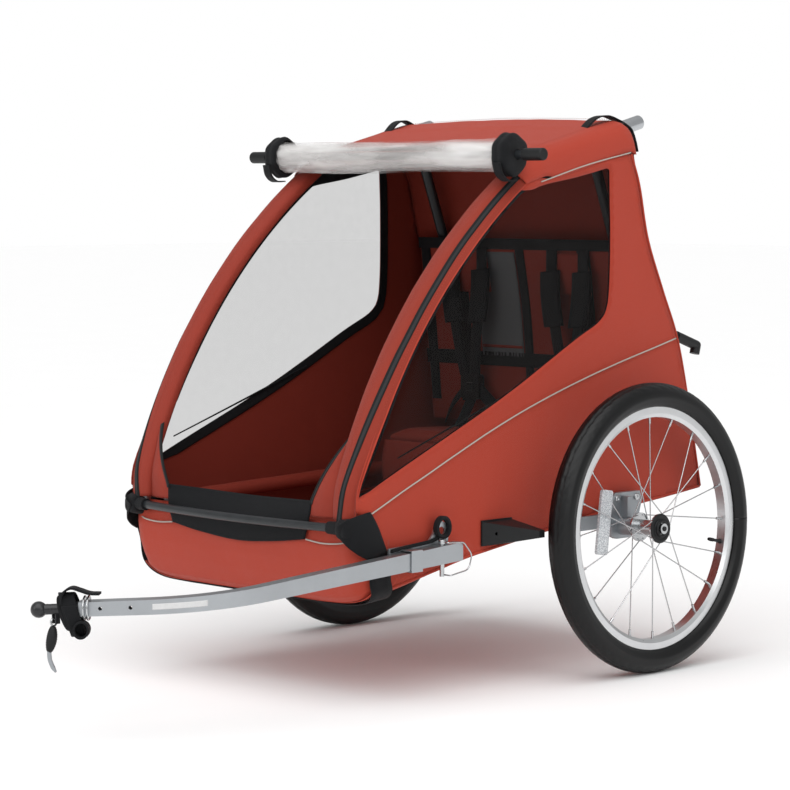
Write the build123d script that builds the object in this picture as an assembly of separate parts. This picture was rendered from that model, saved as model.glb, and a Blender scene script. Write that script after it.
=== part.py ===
from build123d import *
from math import cos, radians, sin, tan
import os

# Child bicycle trailer, in millimetres.
# Everything is drawn in the axle frame: its origin is on the ground under the middle of the axle,
# +X is the child's left (the tow arm's side), -Y is forward and +Z is up.  save() then moves each
# part into the trailer's own frame, whose origin is the middle of the whole footprint.
# Outlines of side views are (y, z) pairs.

os.makedirs("parts", exist_ok=True)

# ---- Wheels ----
tyre_radius = 250
tyre_section = 23
tyre_wall = 3.5
bead_radius = 209.2
rim_radius = 208.7
rim_bottom = 191
rim_half_width = 13
track_half = 371
camber = 1.45
spoke_count = 20
spoke_radius = 1
flange_radius = 25
flange_inner_x = -25
flange_outer_x = 19
hub_half = (-30, 24)
axle_radius = 6
running_gap = 0.05
loose_gap = 0.3
button_radius = 4
reflector_distance = 123
reflector_lead = 9

# ---- Frame tubes ----
tube_radius = 12.5
tube_wall = 2.1
tube_x = 258
small_tube_radius = 9
small_tube_wall = 1.5
axle_height = 250
rail_front = (-572, 291)
rail_rear = (203, 320)
cross_tube_spot = (226, 321)
bumper_radius = 7
bumper_bow = 16

corner_x = (241, 284)
corner_y = (-632, -552)
corner_z = (262, 306)
fork_x = (tube_x - tube_radius - 0.6, tube_x + tube_radius + 0.6)
receiver_x = (297, 300.5)
bolt_hole = 3.05
bracket_bolts = ((-14, 296), (36, 296))
receiver_bolts = ((-528, 243), (-475, 243))
guard_bolt = (-315, 261)

# ---- Cage that folds ----
cage_pivot = (-607, 292)
cage_foot = (-607, 280)
cage_bends = ((51,), (104, 20), (1005, 37.7), (80, 18.3), (269.8,))
roof_slope = 14
socket_radius = 11
socket_depth = 80
cage_cross_y = (-150, -28)
pin_radius = 4

# ---- Knee struts between cage and rails ----
hanger_pivot = (22, 896)
knee = (140, 585)
strut_radius = 9.5
lower_strut_x = 234
upper_strut_x = 212
eye_radius = 12
lever_x = (262, 280)
lever_boss_radius = 12

# ---- Fabric body ----
body_half = 287
fabric = 4
tub_floor = ((-588, 169), (-170, 243), (-30, 266), (242, 297))
tub_top = 450
tub_rear_top = 330
roof_half = 279
roof_rise = 15
roof_crown = 7
roof_sheet = 2

# ---- Rolled cover across the front of the roof ----
cover_spot = (-263, 888)
cover_radius = 35.5
collar_radius = 38.5
collar_x = (272, 296)
rod_half = 361
cap_radius = 10.5

# ---- Tow arm ----
arm_x = 314
arm_width = 22
arm_wall = 2
arm_rear = (-415, 243)
arm_height = 30
arm_front_height = 21
arm_drop = tan(radians(3.6))
arm_bend_y = -840
arm_bend_radius = 228
arm_bend = 48
arm_tip = 100
arm_hole_radius = 3
arm_holes = (21, 67)
ball_reach = 162
ball_radius = 12.6
lock_pin_spot = (-453, 204, 262)
lock_pin_radius = 3.9

ON_BASE = (Align.CENTER, Align.CENTER, Align.MIN)

hub_height = (tyre_radius - tyre_section) * cos(radians(camber)) + tyre_section


# ---- Places worked out from the driving dimensions ----
def arm_spot(along, across=0):
    """Point in plan on the arm's straight tip, from the end of its bend."""
    turn = radians(arm_bend)
    x = arm_x - arm_bend_radius * (1 - cos(turn)) - along * sin(turn) + across * cos(turn)
    y = arm_bend_y - arm_bend_radius * sin(turn) - along * cos(turn) - across * sin(turn)
    return x, y


def arm_z(y):
    """Height of the middle of the arm."""
    return arm_rear[1] + (y - arm_rear[0]) * arm_drop


ball_x, ball_y = arm_spot(ball_reach)
ball_z = arm_z(ball_y)
axle_y = -(tyre_radius + ball_y - ball_radius) / 2


def save(name, *solids):
    """Write one sub-part, moved from the axle frame into the trailer's frame."""
    moved = [Pos(0, axle_y, 0) * solid for solid in solids]
    export_step(moved[0] if len(moved) == 1 else Compound(children=moved), f"parts/{name}.step")


def save_pair(name, *solids):
    save(f"{name}_left", *solids)
    save(f"{name}_right", *[mirror(solid, about=Plane.YZ) for solid in solids])


# ---- Small builders ----
def rod(start, end, radius, bore=0):
    """Round bar or tube between two points."""
    axis = Vector(*end) - Vector(*start)
    spot = Plane(origin=start, z_dir=axis).location
    body = spot * Cylinder(radius, axis.length, align=ON_BASE)
    if bore:
        body -= spot * Cylinder(bore, axis.length, align=ON_BASE)
    return body


def cross_rod(spot, x0, x1, radius, bore=0):
    """Round bar or tube along X at a (y, z) spot."""
    return rod((x0, *spot), (x1, *spot), radius, bore)


def plate(outline, x0, x1):
    """Flat piece of a side-view outline, between two X planes."""
    face = Plane.YZ.offset(x0) * make_face(Polyline(*outline, close=True))
    return extrude(face, amount=x1 - x0, dir=(1, 0, 0))


def block(x, y, z):
    """Box from three (low, high) pairs."""
    return Pos(x[0], y[0], z[0]) * Box(x[1] - x[0], y[1] - y[0], z[1] - z[0], align=(Align.MIN,) * 3)


def strip(points, width, thickness):
    """Band of webbing: a side-view line of points, thick in that view and wide along X about x = 0."""
    line = Polyline(*points) if len(points) > 2 else Line(*points)
    face = make_face(offset(line, amount=thickness / 2, side=Side.BOTH))
    return extrude(Plane.YZ.offset(-width / 2) * face, amount=width, dir=(1, 0, 0))


def bent_line(start, heading, steps):
    """Side-view line of (length,) straight runs and (radius, degrees) turns towards the rear."""
    edges = []
    here = Vector(*start)
    for step in steps:
        way = Vector(cos(radians(heading)), sin(radians(heading)))
        if len(step) == 1:
            edge = Line(here, here + way * step[0])
        else:
            edge = JernArc(here, way, step[0], -step[1])
            heading -= step[1]
        edges.append(edge)
        here = edge @ 1
    return Wire([piece for edge in edges for piece in edge.edges()])


def sweep_round(line, radius):
    start = Plane(origin=line @ 0, z_dir=line % 0)
    return sweep(start * Circle(radius), path=line)


# ---- Wheels: built about their own centre with the axle along X ----
def wheel_place(shape):
    return Pos(track_half, 0, hub_height) * Rot(0, -camber, 0) * shape


def ring(outline):
    """Solid of revolution about the wheel's axle from (x, radius) points."""
    face = Plane.XZ * make_face(Polyline(*outline, close=True))
    return revolve(face, axis=Axis.X)


def tyre():
    centre = tyre_radius - tyre_section
    outer = Pos(0, centre) * Circle(tyre_section)
    inner = Pos(0, centre) * Circle(tyre_section - tyre_wall)
    below = Pos(0, bead_radius - tyre_section) * Rectangle(4 * tyre_section, 2 * tyre_section)
    return revolve(Plane.XZ * (outer - inner - below), axis=Axis.X)


def rim():
    w = rim_half_width
    lip = 2.5
    well = rim_bottom + 6.5
    return ring([(-w, rim_radius), (-w, well), (-w + 4, rim_bottom), (w - 4, rim_bottom), (w, well),
                 (w, rim_radius), (w - lip, rim_radius), (w - lip, well), (lip - w, well),
                 (lip - w, rim_radius)])


def hub():
    barrel = cross_rod((0, 0), *hub_half, 13)
    flanges = [cross_rod((0, 0), x - 1.5, x + 1.5, flange_radius) for x in (flange_inner_x, flange_outer_x)]
    body = barrel + flanges
    return body - cross_rod((0, 0), hub_half[0], hub_half[1], axle_radius + running_gap)


def spoke(angle, flange_x, side, sweep_angle):
    """J-bend spoke from a flange hole to the rim, with its nipple."""
    hole = 21.5
    tip = 193
    head = 3.2
    end = angle + sweep_angle
    foot = Vector(flange_x + 2.6 * side, hole * cos(radians(angle)), hole * sin(radians(angle)))
    top = Vector(0, tip * cos(radians(end)), tip * sin(radians(end)))
    way = (top - foot).normalized()
    wire = rod(foot, top - way * 12, spoke_radius)
    nipple = rod(top - way * 14, top, 2.2)
    elbow = rod(foot + (0.9 * side, 0, 0), foot - ((2.6 + head) * side, 0, 0), spoke_radius + 0.1)
    return wire + nipple + elbow


def spokes():
    """Half the spokes on each flange; every second one leans the other way."""
    per_side = spoke_count // 2
    pitch = 360 / per_side
    found = []
    for flange_x, offset_angle in ((flange_inner_x, 0), (flange_outer_x, pitch / 2)):
        for k in range(per_side):
            side = 1 if k % 2 else -1
            found.append(spoke(offset_angle + k * pitch, flange_x, side, 2 * pitch * side))
    return found


def reflector():
    """Bar reflector held between the two rows of spokes, towards the front of the wheel."""
    lens = block((-2.5, 2.5), (-reflector_distance - 14, -reflector_distance + 14), (-55, 55))
    return Rot(-reflector_lead, 0, 0) * fillet(lens.edges().filter_by(Axis.X), 5)


def axle_pin():
    """Quick-release axle: shank, head and the bore of its push button."""
    head_face = hub_half[1] + loose_gap
    shank = cross_rod((0, 0), -75, head_face, axle_radius)
    head = cross_rod((0, 0), head_face, head_face + 6, 9)
    return shank + head - cross_rod((0, 0), head_face, head_face + 7, button_radius + loose_gap)


def release_button():
    """Push button in the pin's head, with 2 mm of travel behind it."""
    return cross_rod((0, 0), hub_half[1] + 2.6, hub_half[1] + 8, button_radius)


# ---- Frame ----
def side_rail():
    """Rail from the corner block to the rear cross tube, with the lower strut's pivot pin."""
    slope = (rail_rear[1] - rail_front[1]) / (rail_rear[0] - rail_front[0])
    end_y = cross_tube_spot[0] - 4
    end = (tube_x, end_y, rail_front[1] + slope * (end_y - rail_front[0]))
    rail = rod((tube_x, *rail_front), end, tube_radius, tube_radius - tube_wall)
    rail -= cross_rod(cross_tube_spot, 0, body_half, small_tube_radius + running_gap)
    return rail + cross_rod(rail_rear, lower_strut_x - 12, tube_x - tube_radius + 1, pin_radius)


def rear_cross_tube():
    half = tube_x + tube_radius + 1
    return cross_rod(cross_tube_spot, -half, half, small_tube_radius, small_tube_radius - small_tube_wall)


def axle_tube():
    half = body_half + 9 - loose_gap
    return cross_rod((0, axle_height), -half, half, tube_radius, tube_radius - tube_wall)


def axle_bracket():
    """Cast bracket on the end of the axle tube: plate, leading bar, and the wheel pin's socket."""
    inner = body_half + 9
    outline = [(-28, 232), (-14, 226), (22, 226), (36, 238), (52, 292), (46, 306), (-20, 306), (-28, 298)]
    body = plate(outline, inner, inner + 10)
    bar = [(-119, 247), (-28, 247), (-28, 271), (-112, 271), (-119, 264)]
    body += plate(bar, inner, inner + 8)
    inside = inner - track_half
    socket = wheel_place(cross_rod((0, 0), inside + 2, hub_half[0] - 2, 16))
    rib = plate([(-5, 250), (5, 250), (5, 300), (-5, 300)], inner, inner + 26)
    bore = wheel_place(cross_rod((0, 0), inside - 5, hub_half[0], axle_radius + 2 * running_gap))
    holes = [cross_rod(spot, inner - 1, inner + 11, bolt_hole) for spot in bracket_bolts]
    return body + socket + rib - bore - holes - block((0, inner), (-200, 200), (0, 400))


def bumper_tube():
    """Front tube, bowed forward between the corner blocks."""
    end = corner_x[0] - 1.2
    bow = ThreePointArc((-end, -623, 291), (0, -623 - bumper_bow, 290), (end, -623, 291))
    return sweep_round(Wire(bow.edges()), bumper_radius)


def corner_block():
    """Moulded corner: an open fork for the cage's foot, its pivot pin, and the rail's socket."""
    body = block(corner_x, corner_y, corner_z)
    body = fillet(body.edges().filter_by(Axis.X), 8)
    body -= block(fork_x, (-660, -574), (274, 330))
    slope = (rail_rear[1] - rail_front[1]) / (rail_rear[0] - rail_front[0])
    far = (tube_x, rail_front[0] + 60, rail_front[1] + 60 * slope)
    near = (tube_x, rail_front[0] - 0.5, rail_front[1])
    body -= rod(near, far, tube_radius + 2 * running_gap)
    return body + cross_rod(cage_pivot, fork_x[0] - 1, fork_x[1] + 1, pin_radius)


def wheel_guard():
    """Hollow wedge that keeps posts and kerbs from catching the wheel."""
    def section(x, y, z):
        corners = [(y[0], z[0]), (y[1], z[0]), (y[1], z[1]), (y[0], z[1])]
        return Plane.YZ.offset(x) * make_face(Polyline(*corners, close=True))
    base = section(body_half + 1, (-335, -264), (240, 281))
    tip = section(355, (-265, -252), (254, 266))
    body = loft([base, tip])
    body += plate([(-335, 240), (-262, 240), (-262, 283), (-335, 283)], body_half + 1, body_half + 3)
    body -= cross_rod(guard_bolt, body_half, body_half + 20, bolt_hole)
    pocket_base = section(body_half + 3, (-326, -270), (246, 275))
    pocket_tip = section(330, (-284, -270), (254, 266))
    return body - loft([pocket_base, pocket_tip])


def bolt(y, z, head_x, shank_x, radius=3):
    """Button-head bolt along X, driven from outside."""
    head = cross_rod((y, z), head_x, head_x + 3.2, 2 * radius)
    head = fillet(head.faces().sort_by(Axis.X)[-1].edges(), 1.4)
    socket = Plane.YZ.offset(head_x + 1.4) * extrude(RegularPolygon(radius * 0.8, 6), 3)
    return head + cross_rod((y, z), shank_x, head_x + 0.1, radius) - Pos(0, y, z) * socket


def inner_bolt(y, z):
    """Bolt driven from inside the tub, ending flush with the receiver's plate."""
    wall = body_half - fabric
    head = cross_rod((y, z), wall - 3.2, wall, 6)
    head = fillet(head.faces().sort_by(Axis.X)[0].edges(), 1.4)
    return head + cross_rod((y, z), wall - 0.1, receiver_x[1], 3)


def frame_bolts():
    """Bolts of the axle brackets, wheel guards and arm receiver."""
    shank_end = body_half - 8
    left = [bolt(*spot, body_half + 19, shank_end) for spot in bracket_bolts]
    left.append(bolt(*guard_bolt, body_half + 3, shank_end))
    both = left + [mirror(one, about=Plane.YZ) for one in left]
    return both + [inner_bolt(*spot) for spot in receiver_bolts]


def arm_receiver():
    """Plate on the rail with a collar that the tow arm slides into, and a webbing eye at its rear."""
    outline = [(-560, 224), (-436, 224), (-427, 240), (-424, 272), (-430, 288), (-441, 293), (-452, 288),
               (-460, 272), (-470, 262), (-560, 257)]
    body = plate(outline, *receiver_x)
    body -= cross_rod((-441, 276), receiver_x[0] - 1, receiver_x[1] + 1, 7)
    outside = arm_width / 2 + 2.5
    inside = arm_width / 2 + 0.5
    middle = arm_z(-522)
    half_height = arm_height / 2 + 0.6
    collar = block((receiver_x[0], arm_x + outside), (-535, -510),
                   (middle - half_height - 2, middle + half_height + 2))
    body += collar
    body -= block((arm_x - inside, arm_x + inside), (-600, -400),
                  (middle - half_height, middle + half_height + 0.3))
    body += [cross_rod(spot, body_half + loose_gap, receiver_x[0] + 0.5, 7) for spot in receiver_bolts]
    return body - [cross_rod(spot, body_half, receiver_x[1] + 1, bolt_hole) for spot in receiver_bolts]


# ---- Tow arm ----
def arm_plan(half_width, extra):
    """Plan of the arm: a straight run, a bend inwards and a straight tip."""
    centre = arm_x - arm_bend_radius
    rear = arm_rear[0] + extra
    outer = [Line((arm_x + half_width, rear), (arm_x + half_width, arm_bend_y)),
             CenterArc((centre, arm_bend_y), arm_bend_radius + half_width, 0, -arm_bend),
             Line(arm_spot(0, half_width), arm_spot(arm_tip + extra, half_width))]
    inner = [Line((arm_x - half_width, rear), (arm_x - half_width, arm_bend_y)),
             CenterArc((centre, arm_bend_y), arm_bend_radius - half_width, 0, -arm_bend),
             Line(arm_spot(0, -half_width), arm_spot(arm_tip + extra, -half_width))]
    ends = [Line(inner[0] @ 0, outer[0] @ 0), Line(inner[2] @ 1, outer[2] @ 1)]
    return make_face(outer + inner + ends)


def arm_profile(inset):
    """Side view of the arm between two heights, tapering towards the front."""
    front_y = ball_y - 20
    rear_half = arm_height / 2 - inset
    front_half = arm_front_height / 2 - inset
    rear_y = arm_rear[0] + 10
    outline = [(rear_y, arm_z(rear_y) - rear_half), (rear_y, arm_z(rear_y) + rear_half),
               (front_y, arm_z(front_y) + front_half), (front_y, arm_z(front_y) - front_half)]
    return plate(outline, 0, 400)


def arm_body(half_width, inset, extra):
    return extrude(arm_plan(half_width, extra), amount=400, dir=(0, 0, 1)) & arm_profile(inset)


def tow_arm():
    """Tapered box tube, drilled for the lock pin and across its tip."""
    body = arm_body(arm_width / 2, 0, 0) - arm_body(arm_width / 2 - arm_wall, arm_wall, 5)
    pin_y = lock_pin_spot[0]
    body -= rod((arm_x, pin_y, 150), (arm_x, pin_y, 320), lock_pin_radius + 2 * running_gap)
    for along in arm_holes:
        body -= rod(arm_point(along, -20), arm_point(along, 20), arm_hole_radius)
    return body


def arm_point(along, across=0, up=0):
    """Point on the arm's straight tip, following its slope."""
    x, y = arm_spot(along, across)
    return x, y, arm_z(arm_spot(along)[1]) + up


def hitch_ball():
    """Ball and shank of the coupling, plugged into the arm, with a fork for the hanging pin."""
    ball = Pos(*arm_point(ball_reach)) * Sphere(ball_radius)
    shank = rod(arm_point(arm_tip + 1), arm_point(ball_reach), 8.2)
    collar = rod(arm_point(arm_tip + 1), arm_point(arm_tip + 24), 10.4)
    plug = rod(arm_point(arm_tip - 14), arm_point(arm_tip + 1.5), 8)
    x, y, z = hitch_pivot
    cheeks = [block((x + low, x + low + 2.6), (y - 4, y + 4), (z - 4, z + 14)) for low in (-5.2, 2.6)]
    hanger = cross_rod((y, z), x - 5, x + 5, 2)
    hole_x, hole_y, hole_z = arm_point(arm_tip + 46)
    return ball + shank + collar + plug + cheeks + hanger - \
        rod((hole_x, hole_y, hole_z - 20), (hole_x, hole_y, hole_z + 20), 3.2)


hitch_pivot = arm_point(arm_tip + 36, 0, -18)


def hitch_pin():
    """Coupling pin hanging from the shank by its eye: eye, moulded grip and bent pin."""
    x, y, z = hitch_pivot
    eye_z = z - 1.6
    eye = Pos(x, y, eye_z) * Rot(0, 90, 0) * Torus(5.5, 1.6)
    grip = rod((x, y - 2, eye_z - 5), (x, y - 9, eye_z - 46), 7.5)
    pin = rod((x, y - 9, eye_z - 45), (x, y + 2, eye_z - 78), 3)
    return eye + fillet(grip.edges(), 4) + pin


def across_arm(along, shape):
    """Place a shape drawn flat in XY across the arm's tip, with its +Y upwards."""
    turn = radians(arm_bend)
    spot = Plane(origin=arm_point(along), x_dir=(cos(turn), -sin(turn), 0), z_dir=(sin(turn), cos(turn), 0))
    return spot * shape


def hitch_strap():
    """Safety webbing, folded into a flat loop round the coupling's collar."""
    width = 24
    outer = Pos(0, -10) * Ellipse(17, 36)
    inner = Pos(0, -10) * Ellipse(14, 33)
    loop = extrude(across_arm(arm_tip + 26, outer - inner), width, dir=arm_direction)
    tail = extrude(across_arm(arm_tip + 24, Pos(2, 29) * Ellipse(12, 2.4)), 34, dir=arm_direction)
    return loop, tail


arm_direction = (sin(radians(arm_bend)), cos(radians(arm_bend)), 0)


def hitch_clip():
    """Spring rings that hold the webbing to the arm."""
    return [across_arm(along, Torus(18, 1.5)) for along in (86, 92)]


def lock_pin():
    """Pin through the receiver's end of the arm, with a cross hole in its head for the bail."""
    y, low, high = lock_pin_spot
    shank = rod((arm_x, y, low), (arm_x, y, high), lock_pin_radius)
    head = rod((arm_x, y, bail_pivot[1] - 3.6), (arm_x, y, bail_pivot[1] + 4), 6)
    bore = cross_rod(bail_pivot, arm_x - 8, arm_x + 8, bail_radius + running_gap)
    return shank + fillet(head.edges(), 1.2) - bore


bail_pivot = (lock_pin_spot[0], 260)
bail_radius = 1.2


def lock_bail():
    """Spring wire from the pin's head, round the end of the arm, to the pin's foot."""
    side = arm_x + arm_width / 2 + 3
    y, z = bail_pivot
    route = [(arm_x - 4, y, z), (side, y, z), (side, y + 36, z - 2), (side, y + 56, z - 24),
             (side, y + 48, z - 48), (side, y + 6, z - 54), (arm_x - 2, y + 6, z - 54)]
    line = FilletPolyline(*route, radius=[3, 12, 14, 14, 3])
    return sweep_round(Wire(line.edges()), bail_radius)


# ---- Fabric body ----
def tub_box(inset):
    """Outer form of the tub, or its hollow when inset by the fabric's thickness."""
    lift = inset * 1.02
    floor = [(y, z + lift) for y, z in tub_floor]
    if inset:
        rear = tub_floor[-1][0] - inset
        floor[0] = (floor[0][0] + inset, floor[0][1])
        floor[-1] = (rear, floor[-1][1])
        outline = floor + [(rear, tub_rear_top), (300, tub_rear_top), (300, 520), (-608, 520), (-608, 247)]
    else:
        outline = floor + [(242, tub_rear_top), (229, tub_rear_top), (199, tub_top), (-258, tub_top),
                           (-541, tub_rear_top), (-541, 246), (-612, 246)]
    half = body_half - inset
    body = plate(outline, -half, half)
    floor_edges = [edge for edge in body.edges().filter_by(Plane.YZ)
                   if edge.center().Z < 290 and abs(edge.center().X) > half - 1 and edge.length > 100]
    return fillet(floor_edges, 16 - inset)


def tub():
    """Open tub of floor, front, sides and low rear wall, with its bolt holes."""
    holes = [cross_rod(spot, side * (body_half - 9), side * (body_half + 5), bolt_hole)
             for spot in (*bracket_bolts, guard_bolt) for side in (-1, 1)]
    holes += [cross_rod(spot, body_half - 9, body_half + 5, bolt_hole) for spot in receiver_bolts]
    return tub_box(0) - tub_box(fabric) - holes


def footwell_strap():
    """Webbing from the corner blocks down both sides and under the footwell."""
    x = body_half + 1.4
    flap = plate([(-601, 309), (-576, 309), (-545, 253), (-536, 214), (-536, 170), (-566, 166), (-566, 214)],
                 x, x + 2)
    floor_z = tub_floor[0][1] + (tub_floor[1][1] - tub_floor[0][1]) / (tub_floor[1][0] - tub_floor[0][0]) * 22
    under = plate([(-566, floor_z - 3.4), (-536, floor_z + 1.9), (-536, floor_z - 0.1), (-566, floor_z - 5.4)],
                  -x - 0.1, x + 0.1)
    return flap + mirror(flap, about=Plane.YZ) + under


def seat_base():
    cushion = plate([(-95, 356), (-95, 386), (-84, 396), (118, 384), (122, 354)], -198, 198)
    return fillet(cushion.edges().filter_by(Axis.X), 6)


seat_back_line = ((96, 400), (60, 733))


def seat_front(z):
    """y of the seat back's front face at a height."""
    (y0, z0), (y1, z1) = seat_back_line
    return y0 + (z - z0) * (y1 - y0) / (z1 - z0)


def seat_back():
    (y0, z0), (y1, z1) = seat_back_line
    return plate([(y0, z0), (y0 + 8, z0), (y1 + 8, z1), (y1, z1)], -250, 250)


seat_centre = 125
buckle_front = 62
buckle_z = (442, 488)


def harness_straps():
    """Two shoulder straps and one crotch strap for each seat."""
    found = []
    for centre in (-seat_centre, seat_centre):
        for x in (centre - 38, centre + 38):
            line = [(seat_front(728) - 4, 728), (seat_front(492) - 8, 492)]
            found.append(Pos(x, 0, 0) * strip(line, 25, 2))
        found.append(Pos(centre, 0, 0) * strip([(40, 400), (buckle_front + 6, buckle_z[0] - 3)], 25, 2))
    return found


def buckles():
    found = []
    for centre in (-seat_centre, seat_centre):
        body = block((centre - 23, centre + 23), (buckle_front, buckle_front + 16), buckle_z)
        body = fillet(body.edges().filter_by(Axis.Y), 7)
        body -= block((centre - 9, centre + 9), (buckle_front - 2, buckle_front + 10), (457, 473))
        found.append(body)
    return found


def buckle_button():
    x = 9 - loose_gap
    body = block((seat_centre - x, seat_centre + x), (buckle_front - 3.5, buckle_front + 6.5),
                 (457 + loose_gap, 473 - loose_gap))
    return fillet(body.faces().sort_by(Axis.Y)[0].edges(), 1.5)


# ---- Cage: tubes, hangers, roof and cover ----
cage_line = bent_line(cage_foot, 90, cage_bends)
cage_end = cage_line @ 1
roof_way = Vector(cos(radians(roof_slope)), sin(radians(roof_slope)))


def roof_point(y, rise=0):
    """(y, z) at a distance above the middle of the cage's roof run."""
    z = cage_end.Y + (y - cage_end.X) * tan(radians(roof_slope))
    return y - rise * roof_way.Y, z + rise * roof_way.X


def roof_run(x, radius):
    """Solid bar in the place of the cage tube's roof run."""
    return rod((x, *roof_point(-165)), (x, cage_end.X, cage_end.Y), radius)


def cage_tube():
    """Bent tube: foot with its pivot hole, long pillar, roof run and open handlebar socket."""
    line = cage_line.moved(Plane.YZ.offset(tube_x).location)
    body = sweep_round(line, tube_radius) - sweep_round(line, tube_radius - tube_wall)
    deep = cage_end - roof_way * socket_depth
    beyond = cage_end + roof_way * 5
    body -= rod((tube_x, deep.X, deep.Y), (tube_x, beyond.X, beyond.Y), socket_radius)
    return body - cross_rod(cage_pivot, tube_x - 30, tube_x + 30, pin_radius + running_gap)


def cage_cross_tubes():
    found = []
    for y in cage_cross_y:
        end = tube_x - 5
        bar = cross_rod(roof_point(y), -end, end, small_tube_radius, small_tube_radius - small_tube_wall)
        found.append(bar - [roof_run(x, tube_radius + 0.1) for x in (-tube_x, tube_x)])
    return found


def strut_hanger():
    """Clamp on the roof run with a plate and the pin that the upper strut turns on."""
    start, end = roof_point(6), roof_point(44)
    clamp = rod((tube_x, *start), (tube_x, *end), tube_radius + 2)
    inner = upper_strut_x + strut_radius + 6.5
    web = plate([(10, 890), (34, 890), (40, 928), (6, 920)], inner, tube_x - tube_radius - 0.6)
    eye = cross_rod(hanger_pivot, inner, tube_x - tube_radius - 0.6, eye_radius)
    body = clamp + web + eye - roof_run(tube_x, tube_radius + 0.1)
    near = upper_strut_x - strut_radius - loose_gap
    pin = cross_rod(hanger_pivot, near - 2, inner + 1, pin_radius)
    return body + pin + cross_rod(hanger_pivot, near - 2.5, near, 7)


def roof_panel():
    """Crowned roof skin with turned-down sides, along the cage's roof run."""
    rear, front = roof_point(30), roof_point(-190)

    def edge_path(inset):
        half = roof_half - inset
        top = roof_rise + roof_sheet - inset
        corner = 8
        return [Line((-half, -36), (-half, top - corner)), Line((-half, top - corner), (-half + corner, top)),
                ThreePointArc((-half + corner, top), (0, top + roof_crown), (half - corner, top)),
                Line((half - corner, top), (half, top - corner)), Line((half, top - corner), (half, -36))]
    outer, inner = edge_path(0), edge_path(roof_sheet)
    ends = [Line(outer[0] @ 0, inner[0] @ 0), Line(outer[-1] @ 1, inner[-1] @ 1)]
    face = Plane(origin=(0, *rear), x_dir=(1, 0, 0), z_dir=(0, -roof_way.X, -roof_way.Y)) * \
        make_face(outer + inner + ends)
    length = (rear[0] - front[0]) / roof_way.X
    return extrude(face, amount=length, dir=(0, -roof_way.X, -roof_way.Y))


def cover_rod():
    return cross_rod(cover_spot, -rod_half + 11, rod_half - 11, 7)


def cover_cap():
    cap = cross_rod(cover_spot, 318, rod_half, cap_radius)
    cap = fillet(cap.faces().sort_by(Axis.X)[-1].edges(), 3)
    return cap - cross_rod(cover_spot, 310, rod_half - 10.5, 7 + running_gap)


def rain_cover_roll():
    """Clear front cover, rolled up on its rod between the two collars."""
    half = collar_x[0] - loose_gap
    return cross_rod(cover_spot, -half, half, cover_radius, cover_radius - 3)


def roof_webbing():
    """Collars round the rolled cover's ends, and the loops over the roof's rear corners."""
    collar = cross_rod(cover_spot, *collar_x, collar_radius, 7 + loose_gap)
    collar = fillet(collar.edges().filter_by(GeomType.CIRCLE).sort_by(SortBy.RADIUS)[-2:], 4)
    arc = ThreePointArc(roof_point(-37, 20.5), roof_point(7, 29), roof_point(49, 9))
    face = make_face(offset(arc, amount=1.25, side=Side.BOTH))
    loop = extrude(Plane.YZ.offset(222) * face, amount=21, dir=(1, 0, 0))
    return [collar, loop, mirror(collar, about=Plane.YZ), mirror(loop, about=Plane.YZ)]


def behind_cage():
    """Everything behind the cage tube's centre line in side view."""
    corner = (400, cage_end.Y)
    low = (400, cage_foot[1])
    face = make_face(cage_line.edges() + [*Line(cage_end, corner).edges(), *Line(corner, low).edges(),
                                           *Line(low, cage_foot).edges()])
    return extrude(Plane.YZ.offset(-400) * face, amount=800, dir=(1, 0, 0))


def side_panel():
    """Side of the fabric body above the tub, window included, up to the roof's edge."""
    outline = [(-640, 314), (-545, 314), (-541, 334), (-258, 453), (197, 452), (168, 566), (127, 653),
               (86, 744), (63, 836), (38, 894), (-75, 872), (-190, 843), (-240, 850), (-640, 850)]
    return plate(outline, body_half - 3, body_half) & behind_cage()


def rear_panel():
    line = [(237, 337), (186, 560), (142, 660), (100, 750), (74, 836), (54, 886)]
    return strip(line, 2 * tube_x - 4, 3)


# ---- Knee struts ----
def strut(start, end, x):
    """Tube between two eyes; the first eye has a running bore, the second a loose one."""
    way = (Vector(*end) - Vector(*start)).normalized()
    near, far = Vector(*start) + way * 8, Vector(*end) - way * 8
    half = strut_radius
    body = rod((x, near.X, near.Y), (x, far.X, far.Y), half)
    body += [cross_rod(spot, x - half, x + half, eye_radius) for spot in (start, end)]
    body -= cross_rod(start, x - 20, x + 20, pin_radius + running_gap)
    return body


def lower_strut():
    """Lower half of the knee, with the pin that carries its lever."""
    outer = lower_strut_x + strut_radius
    body = strut(rail_rear, knee, lower_strut_x)
    return body + cross_rod(knee, outer - 1, lever_x[1] + 1, pin_radius)


def upper_strut():
    body = strut(hanger_pivot, knee, upper_strut_x)
    return body - cross_rod(knee, upper_strut_x - 20, upper_strut_x + 20, pin_radius + loose_gap)


def fold_lever():
    """Hand lever on the knee, reaching out behind the body with a turned-down grip."""
    middle = (lever_x[0] + lever_x[1]) / 2
    radius = (lever_x[1] - lever_x[0]) / 2
    start, elbow, tip = (middle, *knee), (middle, 238, 551), (middle, 234, 536)
    arm = rod(start, elbow, radius - 1.5)
    grip = rod((middle, 182, 570), elbow, radius) + Pos(*elbow) * Sphere(radius) + rod(elbow, tip, radius)
    boss = cross_rod(knee, lower_strut_x + strut_radius + loose_gap, lever_x[1],
                     lever_boss_radius)
    return boss + arm + grip - cross_rod(knee, 200, 300, pin_radius + running_gap)


# ---- Write every part ----
save_pair("tyre", wheel_place(tyre()))
save_pair("rim", wheel_place(rim()))
save_pair("hub", wheel_place(hub()))
save_pair("spokes", *[wheel_place(one) for one in spokes()])
save_pair("reflector", wheel_place(reflector()))
save_pair("axle_pin", wheel_place(axle_pin()))
save_pair("release_button", wheel_place(release_button()))

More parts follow.
